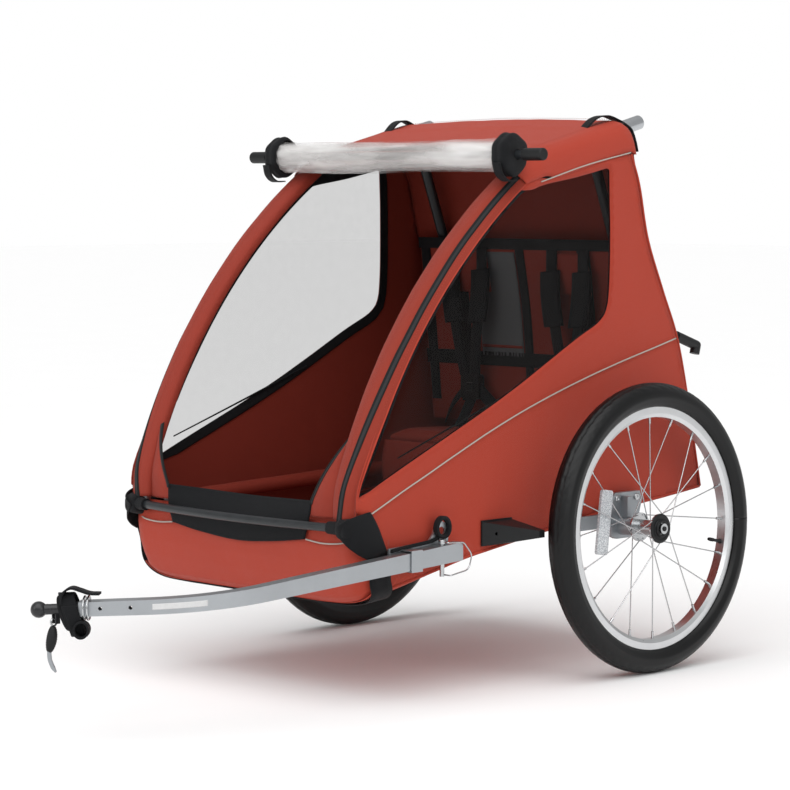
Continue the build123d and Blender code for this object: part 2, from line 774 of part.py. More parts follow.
save_pair("side_rail", side_rail())
save("rear_cross_tube", rear_cross_tube())
save("axle_tube", axle_tube())
save_pair("axle_bracket", axle_bracket())
save("bumper_tube", bumper_tube())
save_pair("corner_block", corner_block())
save_pair("wheel_guard", wheel_guard())
save("frame_bolts", *frame_bolts())

save("arm_receiver", arm_receiver())
save("tow_arm", tow_arm())
save("hitch_ball", hitch_ball())
save("hitch_pin", hitch_pin())
save("hitch_strap", *hitch_strap())
save("hitch_clip", *hitch_clip())
save("lock_pin", lock_pin())
save("lock_bail", lock_bail())

save("tub", tub())
save("footwell_strap", footwell_strap())
save("seat_base", seat_base())
save("seat_back", seat_back())
save("harness_straps", *harness_straps())
save("buckles", *buckles())
save_pair("buckle_button", buckle_button())

save_pair("cage_tube", cage_tube())
save("cage_cross_tubes", *cage_cross_tubes())
save("strut_hangers", strut_hanger(), mirror(strut_hanger(), about=Plane.YZ))
save("roof_panel", roof_panel())
save("cover_rod", cover_rod())
save("cover_rod_caps", cover_cap(), mirror(cover_cap(), about=Plane.YZ))
save("rain_cover_roll", rain_cover_roll())
save("roof_webbing", *roof_webbing())
save_pair("side_panel", side_panel())
save("rear_panel", rear_panel())

save_pair("lower_strut", lower_strut())
save_pair("upper_strut", upper_strut())
save_pair("fold_lever", fold_lever())
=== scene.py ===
import bpy
import bmesh
import numpy as np
from math import ceil, cos, degrees, exp, pi, radians, sin, tan
from mathutils import Matrix, Vector, geometry, noise


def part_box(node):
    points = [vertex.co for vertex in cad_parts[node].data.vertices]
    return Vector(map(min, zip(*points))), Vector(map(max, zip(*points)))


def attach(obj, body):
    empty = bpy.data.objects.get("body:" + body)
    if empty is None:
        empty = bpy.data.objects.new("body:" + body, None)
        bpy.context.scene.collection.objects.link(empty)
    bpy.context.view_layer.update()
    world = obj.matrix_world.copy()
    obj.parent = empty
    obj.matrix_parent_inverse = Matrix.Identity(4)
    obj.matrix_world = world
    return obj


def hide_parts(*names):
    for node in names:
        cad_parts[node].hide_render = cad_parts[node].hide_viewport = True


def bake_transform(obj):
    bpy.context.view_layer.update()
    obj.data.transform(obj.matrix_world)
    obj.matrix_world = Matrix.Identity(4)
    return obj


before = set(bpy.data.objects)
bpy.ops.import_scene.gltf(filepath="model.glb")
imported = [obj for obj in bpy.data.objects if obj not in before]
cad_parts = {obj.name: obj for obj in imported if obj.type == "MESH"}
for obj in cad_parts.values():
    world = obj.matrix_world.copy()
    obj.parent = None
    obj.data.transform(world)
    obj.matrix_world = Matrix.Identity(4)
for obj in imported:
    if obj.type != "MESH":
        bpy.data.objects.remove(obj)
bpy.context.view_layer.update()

# Child bicycle trailer: fabric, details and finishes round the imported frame.
# Shapes are laid out in millimetres about the axle: +X is the child's left, -Y is forward, +Z is up,
# and (y, z) pairs are side views.  at() turns such a point into the frame's own metres.
AXLE_LOW, AXLE_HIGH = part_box("axle_tube")
AXLE_Y = (AXLE_LOW.y + AXLE_HIGH.y) / 2
SIDES = {1: "left", -1: "right"}


def at(x, y, z):
    """Point in the frame, from millimetres about the axle."""
    return Vector((x / 1000, y / 1000 + AXLE_Y, z / 1000))


def spread(low, high, count):
    """Evenly spaced values from low to high."""
    return [low + (high - low) * k / (count - 1) for k in range(count)]


def angles(count):
    """Evenly spaced angles round a full turn."""
    return [2 * pi * k / count for k in range(count)]


def limit(value):
    """A value kept between 0 and 1."""
    return max(0.0, min(1.0, value))


def ripple(a, b, size, seed=0.0):
    """Smooth noise between about -1 and 1 for a place in millimetres."""
    return noise.noise(Vector((a / size, b / size, seed)))


def link(name, data):
    """A new object of the scene."""
    thing = bpy.data.objects.new(name, data)
    bpy.context.scene.collection.objects.link(thing)
    return thing


def aim(thing, way):
    """Turn a camera or lamp to look along a way."""
    thing.rotation_euler = way.to_track_quat("-Z", "Y").to_euler()


# ---- Camera ----
def place_camera():
    data = bpy.data.cameras.new("view")
    data.lens = 126.8
    data.sensor_width = 36
    data.clip_end = 100
    camera = link("view", data)
    yaw, pitch = radians(45.72), radians(4.21)
    camera.location = at(3469, -3636, 829)
    aim(camera, Vector((-sin(yaw) * cos(pitch), cos(yaw) * cos(pitch), -sin(pitch))))
    bpy.context.scene.camera = camera


# ---- Material nodes ----
class Finish:
    """A procedural material: short calls that add and join its nodes."""

    def __init__(self, name, color, roughness, **sockets):
        self.material = bpy.data.materials.new(name)
        self.material.use_nodes = True
        self.tree = self.material.node_tree
        self.shader = self.tree.nodes["Principled BSDF"]
        self.set("Base Color", (*color, 1))
        self.set("Roughness", roughness)
        for socket, value in sockets.items():
            self.set(socket.replace("_", " "), value)

    def feed(self, socket, value):
        if isinstance(value, bpy.types.NodeSocket):
            self.tree.links.new(value, socket)
        else:
            socket.default_value = value

    def set(self, socket, value):
        self.feed(self.shader.inputs[socket], value)

    def node(self, kind, inputs=(), **settings):
        node = self.tree.nodes.new("ShaderNode" + kind)
        for name, value in settings.items():
            setattr(node, name, value)
        for key, value in dict(inputs).items():
            self.feed(node.inputs[key], value)
        return node

    def add(self, kind, inputs=(), output=0, **settings):
        return self.node(kind, inputs, **settings).outputs[output]

    def math(self, operation, a, b=0.0):
        return self.add("Math", {0: a, 1: b}, operation=operation)

    def cloth_place(self):
        return self.add("UVMap", uv_map="cloth")

    def solid_place(self):
        return self.add("TexCoord", output=3)

    def scaled(self, place, x, y, z=1):
        return self.add("Mapping", {0: place, 3: (x, y, z)})

    def split(self, place):
        return self.node("SeparateXYZ", {0: place}).outputs

    def noise(self, place, scale, detail=3.0, rough=0.55):
        return self.add("TexNoise", {"Vector": place, "Scale": scale, "Detail": detail, "Roughness": rough})

    def span(self, value, low, high):
        """A 0-1 value moved into a range."""
        return self.add("MapRange", {0: value, 3: low, 4: high})

    def mix(self, factor, *colors):
        a, b = [color if isinstance(color, bpy.types.NodeSocket) else (*color, 1) for color in colors]
        return self.add("Mix", {0: factor, 6: a, 7: b}, output=2, data_type="RGBA")

    def finished(self, color, roughness=None, normal=None):
        """Plug in the worked-out values and give the material."""
        for socket, value in (("Base Color", color), ("Roughness", roughness), ("Normal", normal)):
            if value is not None:
                self.set(socket, value)
        return self.material

    def bump(self, height, distance, strength=1.0, below=None):
        inputs = {"Height": height, "Distance": distance, "Strength": strength}
        if below is not None:
            inputs["Normal"] = below
        return self.add("Bump", inputs)


def shade(color, share):
    """A colour made darker or lighter."""
    return tuple(min(1, channel * share) for channel in color)


def woven(name, color, thread, roughness, relief, mottle=0.16, sheen=0.06, gloss=0.3):
    """Plain weave laid along the cloth: threads, slubs, and slow changes of tone."""
    f = Finish(name, color, roughness, Sheen_Weight=sheen, Sheen_Roughness=0.45, Specular_IOR_Level=gloss)
    place = f.cloth_place()
    turns = f.split(f.scaled(place, pi / thread, pi / thread))
    warp = f.math("ABSOLUTE", f.math("SINE", turns[0]))
    weft = f.math("ABSOLUTE", f.math("SINE", turns[1]))
    cells = f.add("TexChecker", {"Vector": f.scaled(place, 1 / thread, 1 / thread), "Scale": 1.0}, output=1)
    over = f.add("Mix", {0: cells, 2: warp, 3: weft})
    slubs = f.math("ADD", *(f.noise(f.scaled(place, *size), 1.0, 2.0) for size in ((12, 900), (900, 12))))
    slow = f.noise(f.solid_place(), 9.0, 4.0)
    creases = f.noise(f.solid_place(), 38.0, 5.0, 0.6)
    tone = f.math("ADD", f.math("MULTIPLY", slubs, 0.25), f.math("MULTIPLY", slow, 0.5))
    mixed = f.mix(tone, shade(color, 1 - 2 * mottle), shade(color, 1 + 2 * mottle))
    return f.finished(f.mix(f.span(over, 0.0, 0.35), shade(color, 0.72), mixed),
                      f.span(f.noise(place, 160.0), roughness - 0.08, roughness + 0.08),
                      f.bump(over, relief, 0.8, f.bump(creases, 0.0012, 0.5)))


def webbing(name, color, pitch=0.0016):
    """Nylon webbing: ribs across the band and a herringbone of fine threads."""
    f = Finish(name, color, 0.62, Sheen_Weight=0.03, Sheen_Roughness=0.4, Specular_IOR_Level=0.2)
    turns = f.split(f.scaled(f.cloth_place(), 2 * pi / pitch, 2 * pi / pitch))
    rib = f.math("SINE", f.math("ADD", turns[1], f.math("PINGPONG", turns[0], 6.0)))
    tone = f.math("MULTIPLY", f.math("ADD", rib, 1.0), 0.5)
    wear = f.noise(f.solid_place(), 60.0, 4.0)
    worn = f.mix(f.span(wear, 0.0, 0.35), color, shade(color, 2.6))
    return f.finished(f.mix(tone, shade(color, 0.6), worn), normal=f.bump(rib, 0.0004, 0.8))


def zipper_tape():
    """Black zip: a coil of teeth down the middle of a woven tape."""
    f = Finish("zipper_tape", (0.008, 0.008, 0.009), 0.5, Specular_IOR_Level=0.22)
    place = f.cloth_place()
    spot = f.split(place)
    teeth = f.math("SINE", f.math("MULTIPLY", spot[1], 2 * pi / 0.0017))
    middle = f.math("LESS_THAN", f.math("ABSOLUTE", f.math("SUBTRACT", spot[0], 0.0058)), 0.0021)
    height = f.math("MULTIPLY", middle, f.span(teeth, 0.6, 1.0))
    tape = f.noise(place, 900.0, 2.0)
    return f.finished(f.mix(middle, (0.006, 0.007, 0.007), (0.022, 0.022, 0.024)), f.span(middle, 0.68, 0.36),
                      f.bump(height, 0.0008, 0.9, f.bump(tape, 0.0002, 0.6)))


def window_vinyl():
    """Tinted window: smooth, with slow ripples and faint dust."""
    f = Finish("window_vinyl", (0.004, 0.0035, 0.0035), 0.09, Specular_IOR_Level=0.14)
    place = f.cloth_place()
    waves = f.noise(f.scaled(place, 4, 9), 1.0, 2.0, 0.4)
    dust = f.noise(place, 60.0, 3.0, 0.6)
    f.set("Alpha", f.span(dust, 0.33, 0.38))
    return f.finished(f.mix(dust, (0.003, 0.0026, 0.0025), (0.007, 0.006, 0.0055)), f.span(dust, 0.05, 0.12),
                      f.bump(waves, 0.003, 0.5))


def clear_vinyl():
    """Clear rolled cover: glossy and creased, whiter in long streaks along the roll that are painted
    reflections, and more opaque in them.
    """
    f = Finish("clear_vinyl", (0.8, 0.77, 0.75), 0.1, Specular_IOR_Level=0.8, Coat_Weight=0.5,
               Coat_Roughness=0.05)
    place = f.cloth_place()
    creases = f.add("TexVoronoi", {"Vector": f.scaled(place, 4, 26), "Scale": 1.0}, feature="SMOOTH_F1")
    fine = f.noise(f.scaled(place, 5, 30), 1.0, 2.0, 0.5)
    # Whiter streaks along the roll are painted reflections; the same streaks also make the sheet more opaque.
    shine_streaks = f.span(fine, -1.3, 2.1)
    f.set("Alpha", f.span(shine_streaks, 0.08, 0.55))
    return f.finished(f.mix(shine_streaks, (0.72, 0.69, 0.67), (0.97, 0.96, 0.95)), f.span(fine, 0.02, 0.12),
                      f.bump(creases, 0.02, 0.9, f.bump(fine, 0.012, 0.8)))


def satin_metal(name, color, roughness, along=(8, 600, 600), depth=0.00006):
    """Drawn or brushed metal: fine lines one way, slight stains and rubbed patches."""
    f = Finish(name, color, roughness, Metallic=1.0)
    place = f.solid_place()
    lines = f.noise(f.scaled(place, *along), 1.0, 3.0)
    stains = f.noise(place, 22.0, 5.0, 0.62)
    uneven = f.math("ADD", f.span(lines, roughness - 0.07, roughness + 0.05), f.span(stains, -0.05, 0.08))
    return f.finished(f.mix(stains, shade(color, 0.86), shade(color, 1.08)), uneven,
                      f.bump(lines, depth, 0.5))


def moulded(name, color, roughness, grain=900.0, depth=0.00012, gloss=0.3):
    """Moulded plastic with an etched grain and scuffed lighter patches."""
    f = Finish(name, color, roughness, Specular_IOR_Level=gloss)
    place = f.solid_place()
    pits = f.noise(place, grain, 3.0, 0.6)
    scuffs = f.noise(place, 45.0, 6.0, 0.7)
    return f.finished(f.mix(f.span(scuffs, -0.5, 0.7), color, shade(color, 2.2)),
                      f.span(scuffs, roughness - 0.12, roughness + 0.14), f.bump(pits, depth, 0.7))


def tyre_rubber():
    """Black rubber with fine pores and a little dust."""
    f = Finish("tyre_rubber", (0.006, 0.006, 0.007), 0.4, Specular_IOR_Level=0.3)
    place = f.solid_place()
    pores = f.noise(place, 700.0, 3.0)
    dust = f.noise(place, 30.0, 5.0, 0.65)
    return f.finished(f.mix(f.span(dust, -0.35, 0.55), (0.0018, 0.002, 0.0023), (0.007, 0.007, 0.0078)),
                      f.span(dust, 0.28, 0.5), f.bump(pores, 0.00015, 0.6))


def reflector_lens():
    """Clear lens over rows of small prisms."""
    f = Finish("reflector_lens", (0.86, 0.87, 0.88), 0.12, Coat_Weight=0.6, Coat_Roughness=0.04)
    prisms = f.add("TexVoronoi", {"Vector": f.solid_place(), "Scale": 420.0})
    f.set("Alpha", f.span(prisms, 0.55, 0.9))
    return f.finished(f.mix(prisms, (0.3, 0.33, 0.36), (0.72, 0.74, 0.76)),
                      normal=f.bump(prisms, 0.0006, 0.8))


def label_film():
    f = Finish("label_film", (0.78, 0.78, 0.77), 0.4)
    worn = f.noise(f.cloth_place(), 120.0, 5.0, 0.7)
    return f.finished(f.mix(worn, (0.5, 0.5, 0.5), (0.68, 0.68, 0.68)), f.span(worn, 0.3, 0.5))


def floor_finish():
    f = Finish("floor", (0.93, 0.93, 0.93), 0.85)
    return f.finished(f.mix(f.noise(f.solid_place(), 3.0), (0.92, 0.92, 0.92), (0.94, 0.94, 0.94)))


RED = (0.52, 0.051, 0.0225)
BLACK = (0.006, 0.0065, 0.008)

FINISH = {
    "red": woven("red_fabric", RED, 0.0011, 0.62, 0.00025),
    # Darker copy of the red for the pillar sleeves and front gussets: painted shade on these front-facing
    # pieces.
    "sleeve": woven("sleeve_fabric_painted_shade", shade(RED, 0.66), 0.0011, 0.66, 0.00025),
    # Darker copy of the red for back faces and the pieces inside the cabin: painted shade of the interior.
    "lining": woven("red_lining", shade(RED, 0.5), 0.0009, 0.75, 0.0002, sheen=0.02),
    "black": woven("black_fabric", BLACK, 0.0009, 0.66, 0.0002, sheen=0.02, gloss=0.16),
    "grey": woven("grey_fabric", (0.13, 0.135, 0.14), 0.0008, 0.72, 0.0002),
    "piping": woven("piping_tape", (0.52, 0.47, 0.42), 0.0006, 0.42, 0.0001, mottle=0.08),
    "web": webbing("black_webbing", BLACK),
    "zip": zipper_tape(),
    "window": window_vinyl(),
    "clear": clear_vinyl(),
    "label": label_film(),
    "rubber": tyre_rubber(),
    "grip": moulded("grip_rubber", (0.006, 0.006, 0.0065), 0.55, 420.0, 0.0003),
    "plastic": moulded("black_plastic", (0.006, 0.0065, 0.007), 0.45),
    "coupling": moulded("coupling_coat", (0.012, 0.012, 0.014), 0.3, 300.0, 0.00008, 0.45),
    "lens": reflector_lens(),
    "tube": satin_metal("tube_metal", (0.52, 0.54, 0.56), 0.34),
    "dark_tube": moulded("dark_tube_coat", (0.014, 0.016, 0.018), 0.34, 1500.0, 0.00004, 0.4),
    "arm": satin_metal("arm_metal", (0.43, 0.45, 0.47), 0.4, (500, 10, 500)),
    "cast": satin_metal("cast_metal", (0.36, 0.38, 0.4), 0.44, (260, 260, 260), 0.0002),
    "bright": satin_metal("bright_metal", (0.52, 0.53, 0.54), 0.22, (60, 60, 60), 0.00003),
    "rim": satin_metal("rim_metal", (0.68, 0.69, 0.7), 0.3, (900, 40, 40), 0.00004),
}


# ---- Meshes ----
def make(name, verts, faces, finish, uvs):
    """Smooth mesh object of metre points, with a cloth map in metres for its weave."""
    mesh = bpy.data.meshes.new(name)
    mesh.from_pydata([tuple(v) for v in verts], [], faces)
    uv_map = mesh.uv_layers.new(name="cloth")
    uv_map.data.foreach_set("uv", [value for face in faces for corner in face for value in uvs[corner]])
    mesh.polygons.foreach_set("use_smooth", [True] * len(mesh.polygons))
    mesh.materials.append(FINISH[finish])
    return link(name, mesh)


def thicken(piece, thickness, offset=0.0, inner=None):
    """Give a sheet its thickness; inner is the finish of its back face."""
    solid = piece.modifiers.new("thickness", "SOLIDIFY")
    solid.thickness = thickness / 1000
    solid.offset = offset
    # The back face takes the inner finish; every caller gives the red with painted shade.
    if inner:
        face_outwards(piece)
        piece.data.materials.append(FINISH[inner])
        solid.material_offset = 1
    return piece


def face_outwards(piece):
    """Turn a sheet's faces away from the middle of the cabin."""
    middle = at(0, -150, 520)
    if sum(face.area * face.normal.dot(face.center - middle) for face in piece.data.polygons) < 0:
        piece.data.flip_normals()


def reaches(points):
    """Distance along a line to each of its points."""
    found = [0.0]
    for a, b in zip(points, points[1:]):
        found.append(found[-1] + (b - a).length)
    return found


def grid(name, rows, finish, closed=False):
    """Surface through rows of points; the cloth map follows the lengths along and across it."""
    count = len(rows[0])
    across = reaches(rows[len(rows) // 2])
    uvs = [(u, v) for v in reaches([row[count // 2] for row in rows]) for u in across]
    faces = []
    for i in range(len(rows) - 1):
        for j in range(count if closed else count - 1):
            k = (j + 1) % count
            faces.append((i * count + j, i * count + k, (i + 1) * count + k, (i + 1) * count + j))
    return make(name, [point for row in rows for point in row], faces, finish, uvs)


def layer(name, rows, finish, thickness, inner=None):
    """A grid of cloth with its thickness in millimetres."""
    return thicken(grid(name, rows, finish), thickness, inner=inner)


def smooth_line(points, count):
    """A round curve through a few points, as evenly spaced points (Catmull-Rom)."""
    pts = [Vector(p) for p in points]
    ends = [2 * pts[0] - pts[1]] + pts + [2 * pts[-1] - pts[-2]]
    fine = []
    for a, b, c, d in zip(ends, ends[1:], ends[2:], ends[3:]):
        for k in range(16):
            t = k / 16
            fine.append(0.5 * (2 * b + (c - a) * t + (2 * a - 5 * b + 4 * c - d) * t ** 2
                               + (3 * b - a - 3 * c + d) * t ** 3))
    return evenly(fine + [pts[-1]], count)


def curve(points, count, side=1):
    """A round curve in space through points in millimetres, given for the left side."""
    return smooth_line([at(side * x, y, z) for x, y, z in points], count)


def mirrored(half):
    """Half a line, up to the middle, with its mirror image on the other side."""
    return [*half, *((-x, *rest) for x, *rest in half[::-1][1:])]


def bow(a, b, c, t):
    """Point of the curve that leaves a towards b and reaches c."""
    return a * (1 - t) ** 2 + b * 2 * t * (1 - t) + c * t ** 2


def evenly(points, count):
    """The same line as count points at equal distances."""
    pts = [Vector(p) for p in points]
    reach = reaches(pts)
    found, k = [], 0
    for want in spread(0, reach[-1], count):
        while k < len(pts) - 2 and reach[k + 1] < want:
            k += 1
        step = reach[k + 1] - reach[k]
        found.append(pts[k].lerp(pts[k + 1], (want - reach[k]) / step if step else 0))
    return found


def inside(points, outline):
    """Which 2-D points lie inside a closed outline."""
    x, y = points[:, 0], points[:, 1]
    found = np.zeros(len(points), bool)
    for (x0, y0), (x1, y1) in zip(outline, np.roll(outline, -1, axis=0)):
        rise = y1 - y0 if y1 != y0 else 1e-9
        found ^= ((y0 > y) != (y1 > y)) & (x < (x1 - x0) * (y - y0) / rise + x0)
    return found


def near_line(points, outline, reach):
    """Which points are closer than reach to a closed outline."""
    close = np.zeros(len(points), bool)
    for a, b in zip(outline, np.roll(outline, -1, axis=0)):
        way = b - a
        t = np.clip(((points - a) @ way) / max(way @ way, 1e-9), 0, 1)
        close |= np.linalg.norm(points - a - t[:, None] * way, axis=1) < reach
    return close


def patch(name, outline, place, finish, holes=(), spacing=11):
    """Cloth cut to a flat outline with holes; place(a, b) puts each flat point in space."""
    loops = []
    for loop in (outline, *holes):
        pts = [Vector(p) for p in (*loop, loop[0])]
        loops.append(np.array([tuple(p) for p in evenly(pts, ceil(reaches(pts)[-1] / spacing) + 1)[:-1]]))

    def in_cloth(points):
        found = inside(points, loops[0])
        for hole in loops[1:]:
            found &= ~inside(points, hole)
        return found

    low, high = loops[0].min(axis=0), loops[0].max(axis=0)
    inner = np.array([(a, b) for i, b in enumerate(np.arange(low[1], high[1], spacing * 0.87))
                      for a in np.arange(low[0] + (i % 2) * spacing / 2, high[0], spacing)])
    keep = in_cloth(inner)
    flat, edges = [], []
    for loop in loops:
        keep &= ~near_line(inner, loop, spacing * 0.5)
        first = len(flat)
        flat += [Vector(p) for p in loop]
        edges += [(first + i, first + (i + 1) % len(loop)) for i in range(len(loop))]
    flat += [Vector(p) for p in inner[keep]]
    verts, _, faces, *_ = geometry.delaunay_2d_cdt(flat, edges, [], 0, 1e-4)
    centres = np.array([tuple(sum((verts[i] for i in face), Vector((0, 0))) / 3) for face in faces])
    faces = [face for face, wanted in zip(faces, in_cloth(centres)) if wanted]
    used = sorted({i for face in faces for i in face})
    order = {old: new for new, old in enumerate(used)}
    faces = [tuple(order[i] for i in face) for face in faces]
    verts = [verts[i] for i in used]
    return make(name, [place(*v) for v in verts], faces, finish, [v / 1000 for v in verts])


def ribbon(name, line, across, width, finish, thickness=1.6, count=None):
    """Flat webbing along points in space; across is its cross way, or a function of its length's share."""
    pts = evenly(line, count or len(line))
    rows = []
    for share, point in zip(spread(0, 1, len(pts)), pts):
        way = Vector(across(share) if callable(across) else across).normalized() * width / 2000
        rows.append([point + way * step for step in (-1, -0.5, 0, 0.5, 1)])
    return layer(name, rows, finish, thickness)


def tube(name, line, radius, finish, sides=14, cap=True):
    """Round bar along points in space, radius in millimetres, or a function of the share of its length."""
    rings = []
    last = len(line) - 1
    up = Vector((0.12, 0.07, 1)).normalized()
    for i, point in enumerate(line):
        way = (line[min(i + 1, last)] - line[max(i - 1, 0)]).normalized()
        across = way.cross(up).normalized()
        up = across.cross(way).normalized()
        size = (radius(i / last) if callable(radius) else radius) / 1000
        rings.append([point + size * (across * cos(a) + up * sin(a)) for a in angles(sides)])
    piece = grid(name, rings, finish, closed=True)
    if cap:
        mesh = bmesh.new()
        mesh.from_mesh(piece.data)
        verts = list(mesh.verts)
        mesh.faces.new(verts[:sides][::-1])
        mesh.faces.new(verts[-sides:])
        mesh.to_mesh(piece.data)
        mesh.free()
    return piece


def stitches(name, line, finish, length=3.4, gap=1.9, thick=0.45):
    """A row of sewn stitches along points in space, as small flattened beads."""
    count = max(2, int(reaches(line)[-1] * 1000 / (length + gap)))
    pts = evenly(line, 2 * count)
    verts, faces = [], []
    for a, b in zip(pts[::2], pts[1::2]):
        way = (b - a).normalized()
        u = way.cross(Vector((0.3, 0.2, 1))).normalized() * thick / 1000
        v = way.cross(u).normalized() * thick / 1000
        middle, base = (a + b) / 2, len(verts)
        half = way * length / 2000
        verts += [middle - half, middle + half, middle + u, middle + v, middle - u, middle - v]
        for i in range(4):
            j = (i + 1) % 4
            faces += [(base, base + 2 + j, base + 2 + i), (base + 1, base + 2 + i, base + 2 + j)]
    return make(name, verts, faces, finish, [(0, 0)] * len(verts))


def real_mesh(piece):
    """The piece's mesh with its modifiers made real."""
    return bpy.data.meshes.new_from_object(piece.evaluated_get(bpy.context.evaluated_depsgraph_get()))


def settle(piece):
    """Make a piece's modifiers part of its own mesh."""
    mesh = real_mesh(piece)
    piece.modifiers.clear()
    piece.data = mesh
    return mesh


def join(name, pieces):
    """Several meshes as one piece; their modifiers are made real first."""
    combined = bmesh.new()
    materials = []
    for piece in pieces:
        mesh = real_mesh(piece)
        start = len(combined.faces)
        combined.from_mesh(mesh)
        combined.faces.ensure_lookup_table()
        for face in combined.faces[start:]:
            face.material_index += len(materials)
        materials += list(mesh.materials)
        bpy.data.meshes.remove(mesh)
        bpy.data.objects.remove(piece)
    mesh = bpy.data.meshes.new(name)
    combined.to_mesh(mesh)
    combined.free()
    for material in materials:
        mesh.materials.append(material)
    return link(name, mesh)


def sewn(name, lines, finish="red"):
    """Rows of stitches as one piece."""
    return join(name, [stitches(f"row_{i}", line, finish) for i, line in enumerate(lines)])


def riding(body, *pieces, slot="red_fabric"):
    """Pieces that move with one body of the frame."""
    for piece in pieces:
        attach(piece, body)


def on_tub(*pieces, slot="red_fabric"):
    riding("root", *pieces, slot=slot)


def folding(*pieces, slot="red_fabric"):
    """Fabric between tub and cage, with its transform baked into its mesh."""
    for piece in pieces:
        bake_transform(piece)


def cloth(piece):
    """Measure a sheet's cut: the extent of its flat map, and its own area; the values are not kept."""
    uv = np.zeros(2 * len(piece.data.loops))
    piece.data.uv_layers["cloth"].data.foreach_get("uv", uv)
    uv = uv.reshape(-1, 2)
    width, length = (uv.max(axis=0) - uv.min(axis=0)).tolist()
    area = sum(face.area for face in piece.data.polygons)
    area = min(max(area, 0.31 * width * length), width * length)


# ---- The cage's line ----
TUBE_X = 258
CAGE_FOOT = (-607, 280)
# Each run of the bent tube: its length, and the degrees that it turns.
CAGE_RUNS = ((51, 0), (radians(20) * 104, 20), (radians(37.7) * 1005, 37.7), (radians(18.3) * 80, 18.3),
             (269.8, 0))
CAGE_LENGTH = sum(run for run, _ in CAGE_RUNS)


def cage_spot(s, out=0.0):
    """Side-view point of the cage tube's line at a distance from its foot, moved outwards."""
    here, heading = Vector(CAGE_FOOT), radians(90)
    for run, turn in CAGE_RUNS:
        step = s if (run, turn) == CAGE_RUNS[-1] else min(s, run)
        bend = radians(turn) * step / run
        middle = heading - bend / 2
        chord = 2 * (step / bend) * sin(bend / 2) if bend else step
        here = here + Vector((cos(middle), sin(middle))) * chord
        heading -= bend
        s -= step
        if s <= 0:
            break
    return here + Vector((-sin(heading), cos(heading))) * out


def cage_point(x, s, out):
    """Point beside the cage tube: x across, s from its foot, out from its line."""
    return at(x, *cage_spot(s, out))


def length_at_y(y, out=0.0):
    """Distance along the cage at which its line, moved outwards, reaches a y."""
    low, high = 0.0, CAGE_LENGTH + 60
    for _ in range(40):
        middle = (low + high) / 2
        if cage_spot(middle, out).x < y:
            low = middle
        else:
            high = middle
    return low


# ---- Outlines in side view ----
HEM = [(235, 298), (104, 284), (-30, 272), (-170, 253), (-290, 236), (-370, 224), (-465, 204), (-549, 188)]
REAR_SEAM = [(38, 894), (63, 836), (86, 744), (127, 653), (168, 566), (200, 450), (235, 298)]
ROOF_SEAM = [(-190, 843), (-75, 872), (38, 894)]
PIPING = [(-586, 314), (-477, 361), (-258, 450), (-55, 513), (163, 567)]
WINDOW_TOP_RIGHT = (-16, 868)
PILLAR_COUNT = 40
PILLAR_SPOTS = np.array([cage_spot(s) for s in range(20, 760, 4)])
SIDE_X = 285.4
STITCH_LIFT = 0.75


def window_front(s):
    """Place of the window's front edge before the pillar's middle line, further forward at its foot."""
    return -10 + 5 * max(0.0, 1 - (s - 72) / 450) + 8 * limit(1 - (s - 60) / 150) ** 1.5


def pillar_edge(first, last, shift=0):
    """Side-view points along the pillar, moved outwards from the window's front edge."""
    return [cage_spot(s, window_front(s) + shift) for s in spread(first, last, PILLAR_COUNT)]


def square_to(before, after):
    """Unit vector square to the way between two side-view points."""
    way = (after - before).normalized()
    return Vector((-way.y, way.x))


def side_outline():
    """Outer edge of the side panel: up its front and the pillar, along the roof, and back along the hem."""
    front = smooth_line([(-549, 188), (-562, 232), (-574, 268), (-584, 300)], 10)[:-1]
    pillar = pillar_edge(40, length_at_y(-212, -12), 5)
    return (front + pillar + smooth_line(ROOF_SEAM, 12)[1:] + smooth_line(REAR_SEAM, 40)[1:]
            + smooth_line(HEM, 50)[1:-1])


def window_outline(grow=0.0, front_grow=0.0):
    """Window in side view; grow moves its edge outwards, front_grow the part along the pillar."""
    pillar = pillar_edge(60, length_at_y(-238, -12))
    top = smooth_line([pillar[-1], (-212, 829), (-182, 838), (-100, 851), WINDOW_TOP_RIGHT], 16)
    rear = smooth_line([WINDOW_TOP_RIGHT, (-13, 757), (-15, 660), (-24, 616), (-55, 594), (-104, 572),
                        (-287, 481), (-522, 380), pillar[0]], 44)
    line = pillar + top[1:] + rear[1:-1]
    if not grow:
        return line
    centre = sum(line, Vector((0, 0))) / len(line)
    found = []
    for i, point in enumerate(line):
        out = square_to(line[i - 1], line[(i + 1) % len(line)])
        reach = front_grow if i < PILLAR_COUNT else grow * min(1, (len(line) - i) / 5)
        found.append(point + out * reach * (1 if out.dot(point - centre) > 0 else -1))
    return found


def piping_height(y):
    """Height of the piping line at a y."""
    for (y0, z0), (y1, z1) in zip(PIPING, PIPING[1:]):
        if y <= y1:
            return z0 + (z1 - z0) * (y - y0) / (y1 - y0)
    return PIPING[-1][1]


def side_x(y, z):
    """How far out the side fabric stands, with soft gathers hanging from the piping."""
    gather = limit((piping_height(y) - z) / 60) * 0.9 * ripple(y, z * 0.16, 26, 3.1)
    slack = 1.5 * ripple(y, z, 150, 7.7) + 0.5 * ripple(y, z, 48, 1.3)
    tuck = -2.2 * max(0.0, 1 - (z - (188 + (y + 549) * 0.14)) / 40) if z < 330 else 0.0
    beside = float(np.hypot(PILLAR_SPOTS[:, 0] - y, PILLAR_SPOTS[:, 1] - z).min())
    return SIDE_X + gather + slack + tuck - 0.5 * max(0.0, 14 - beside)


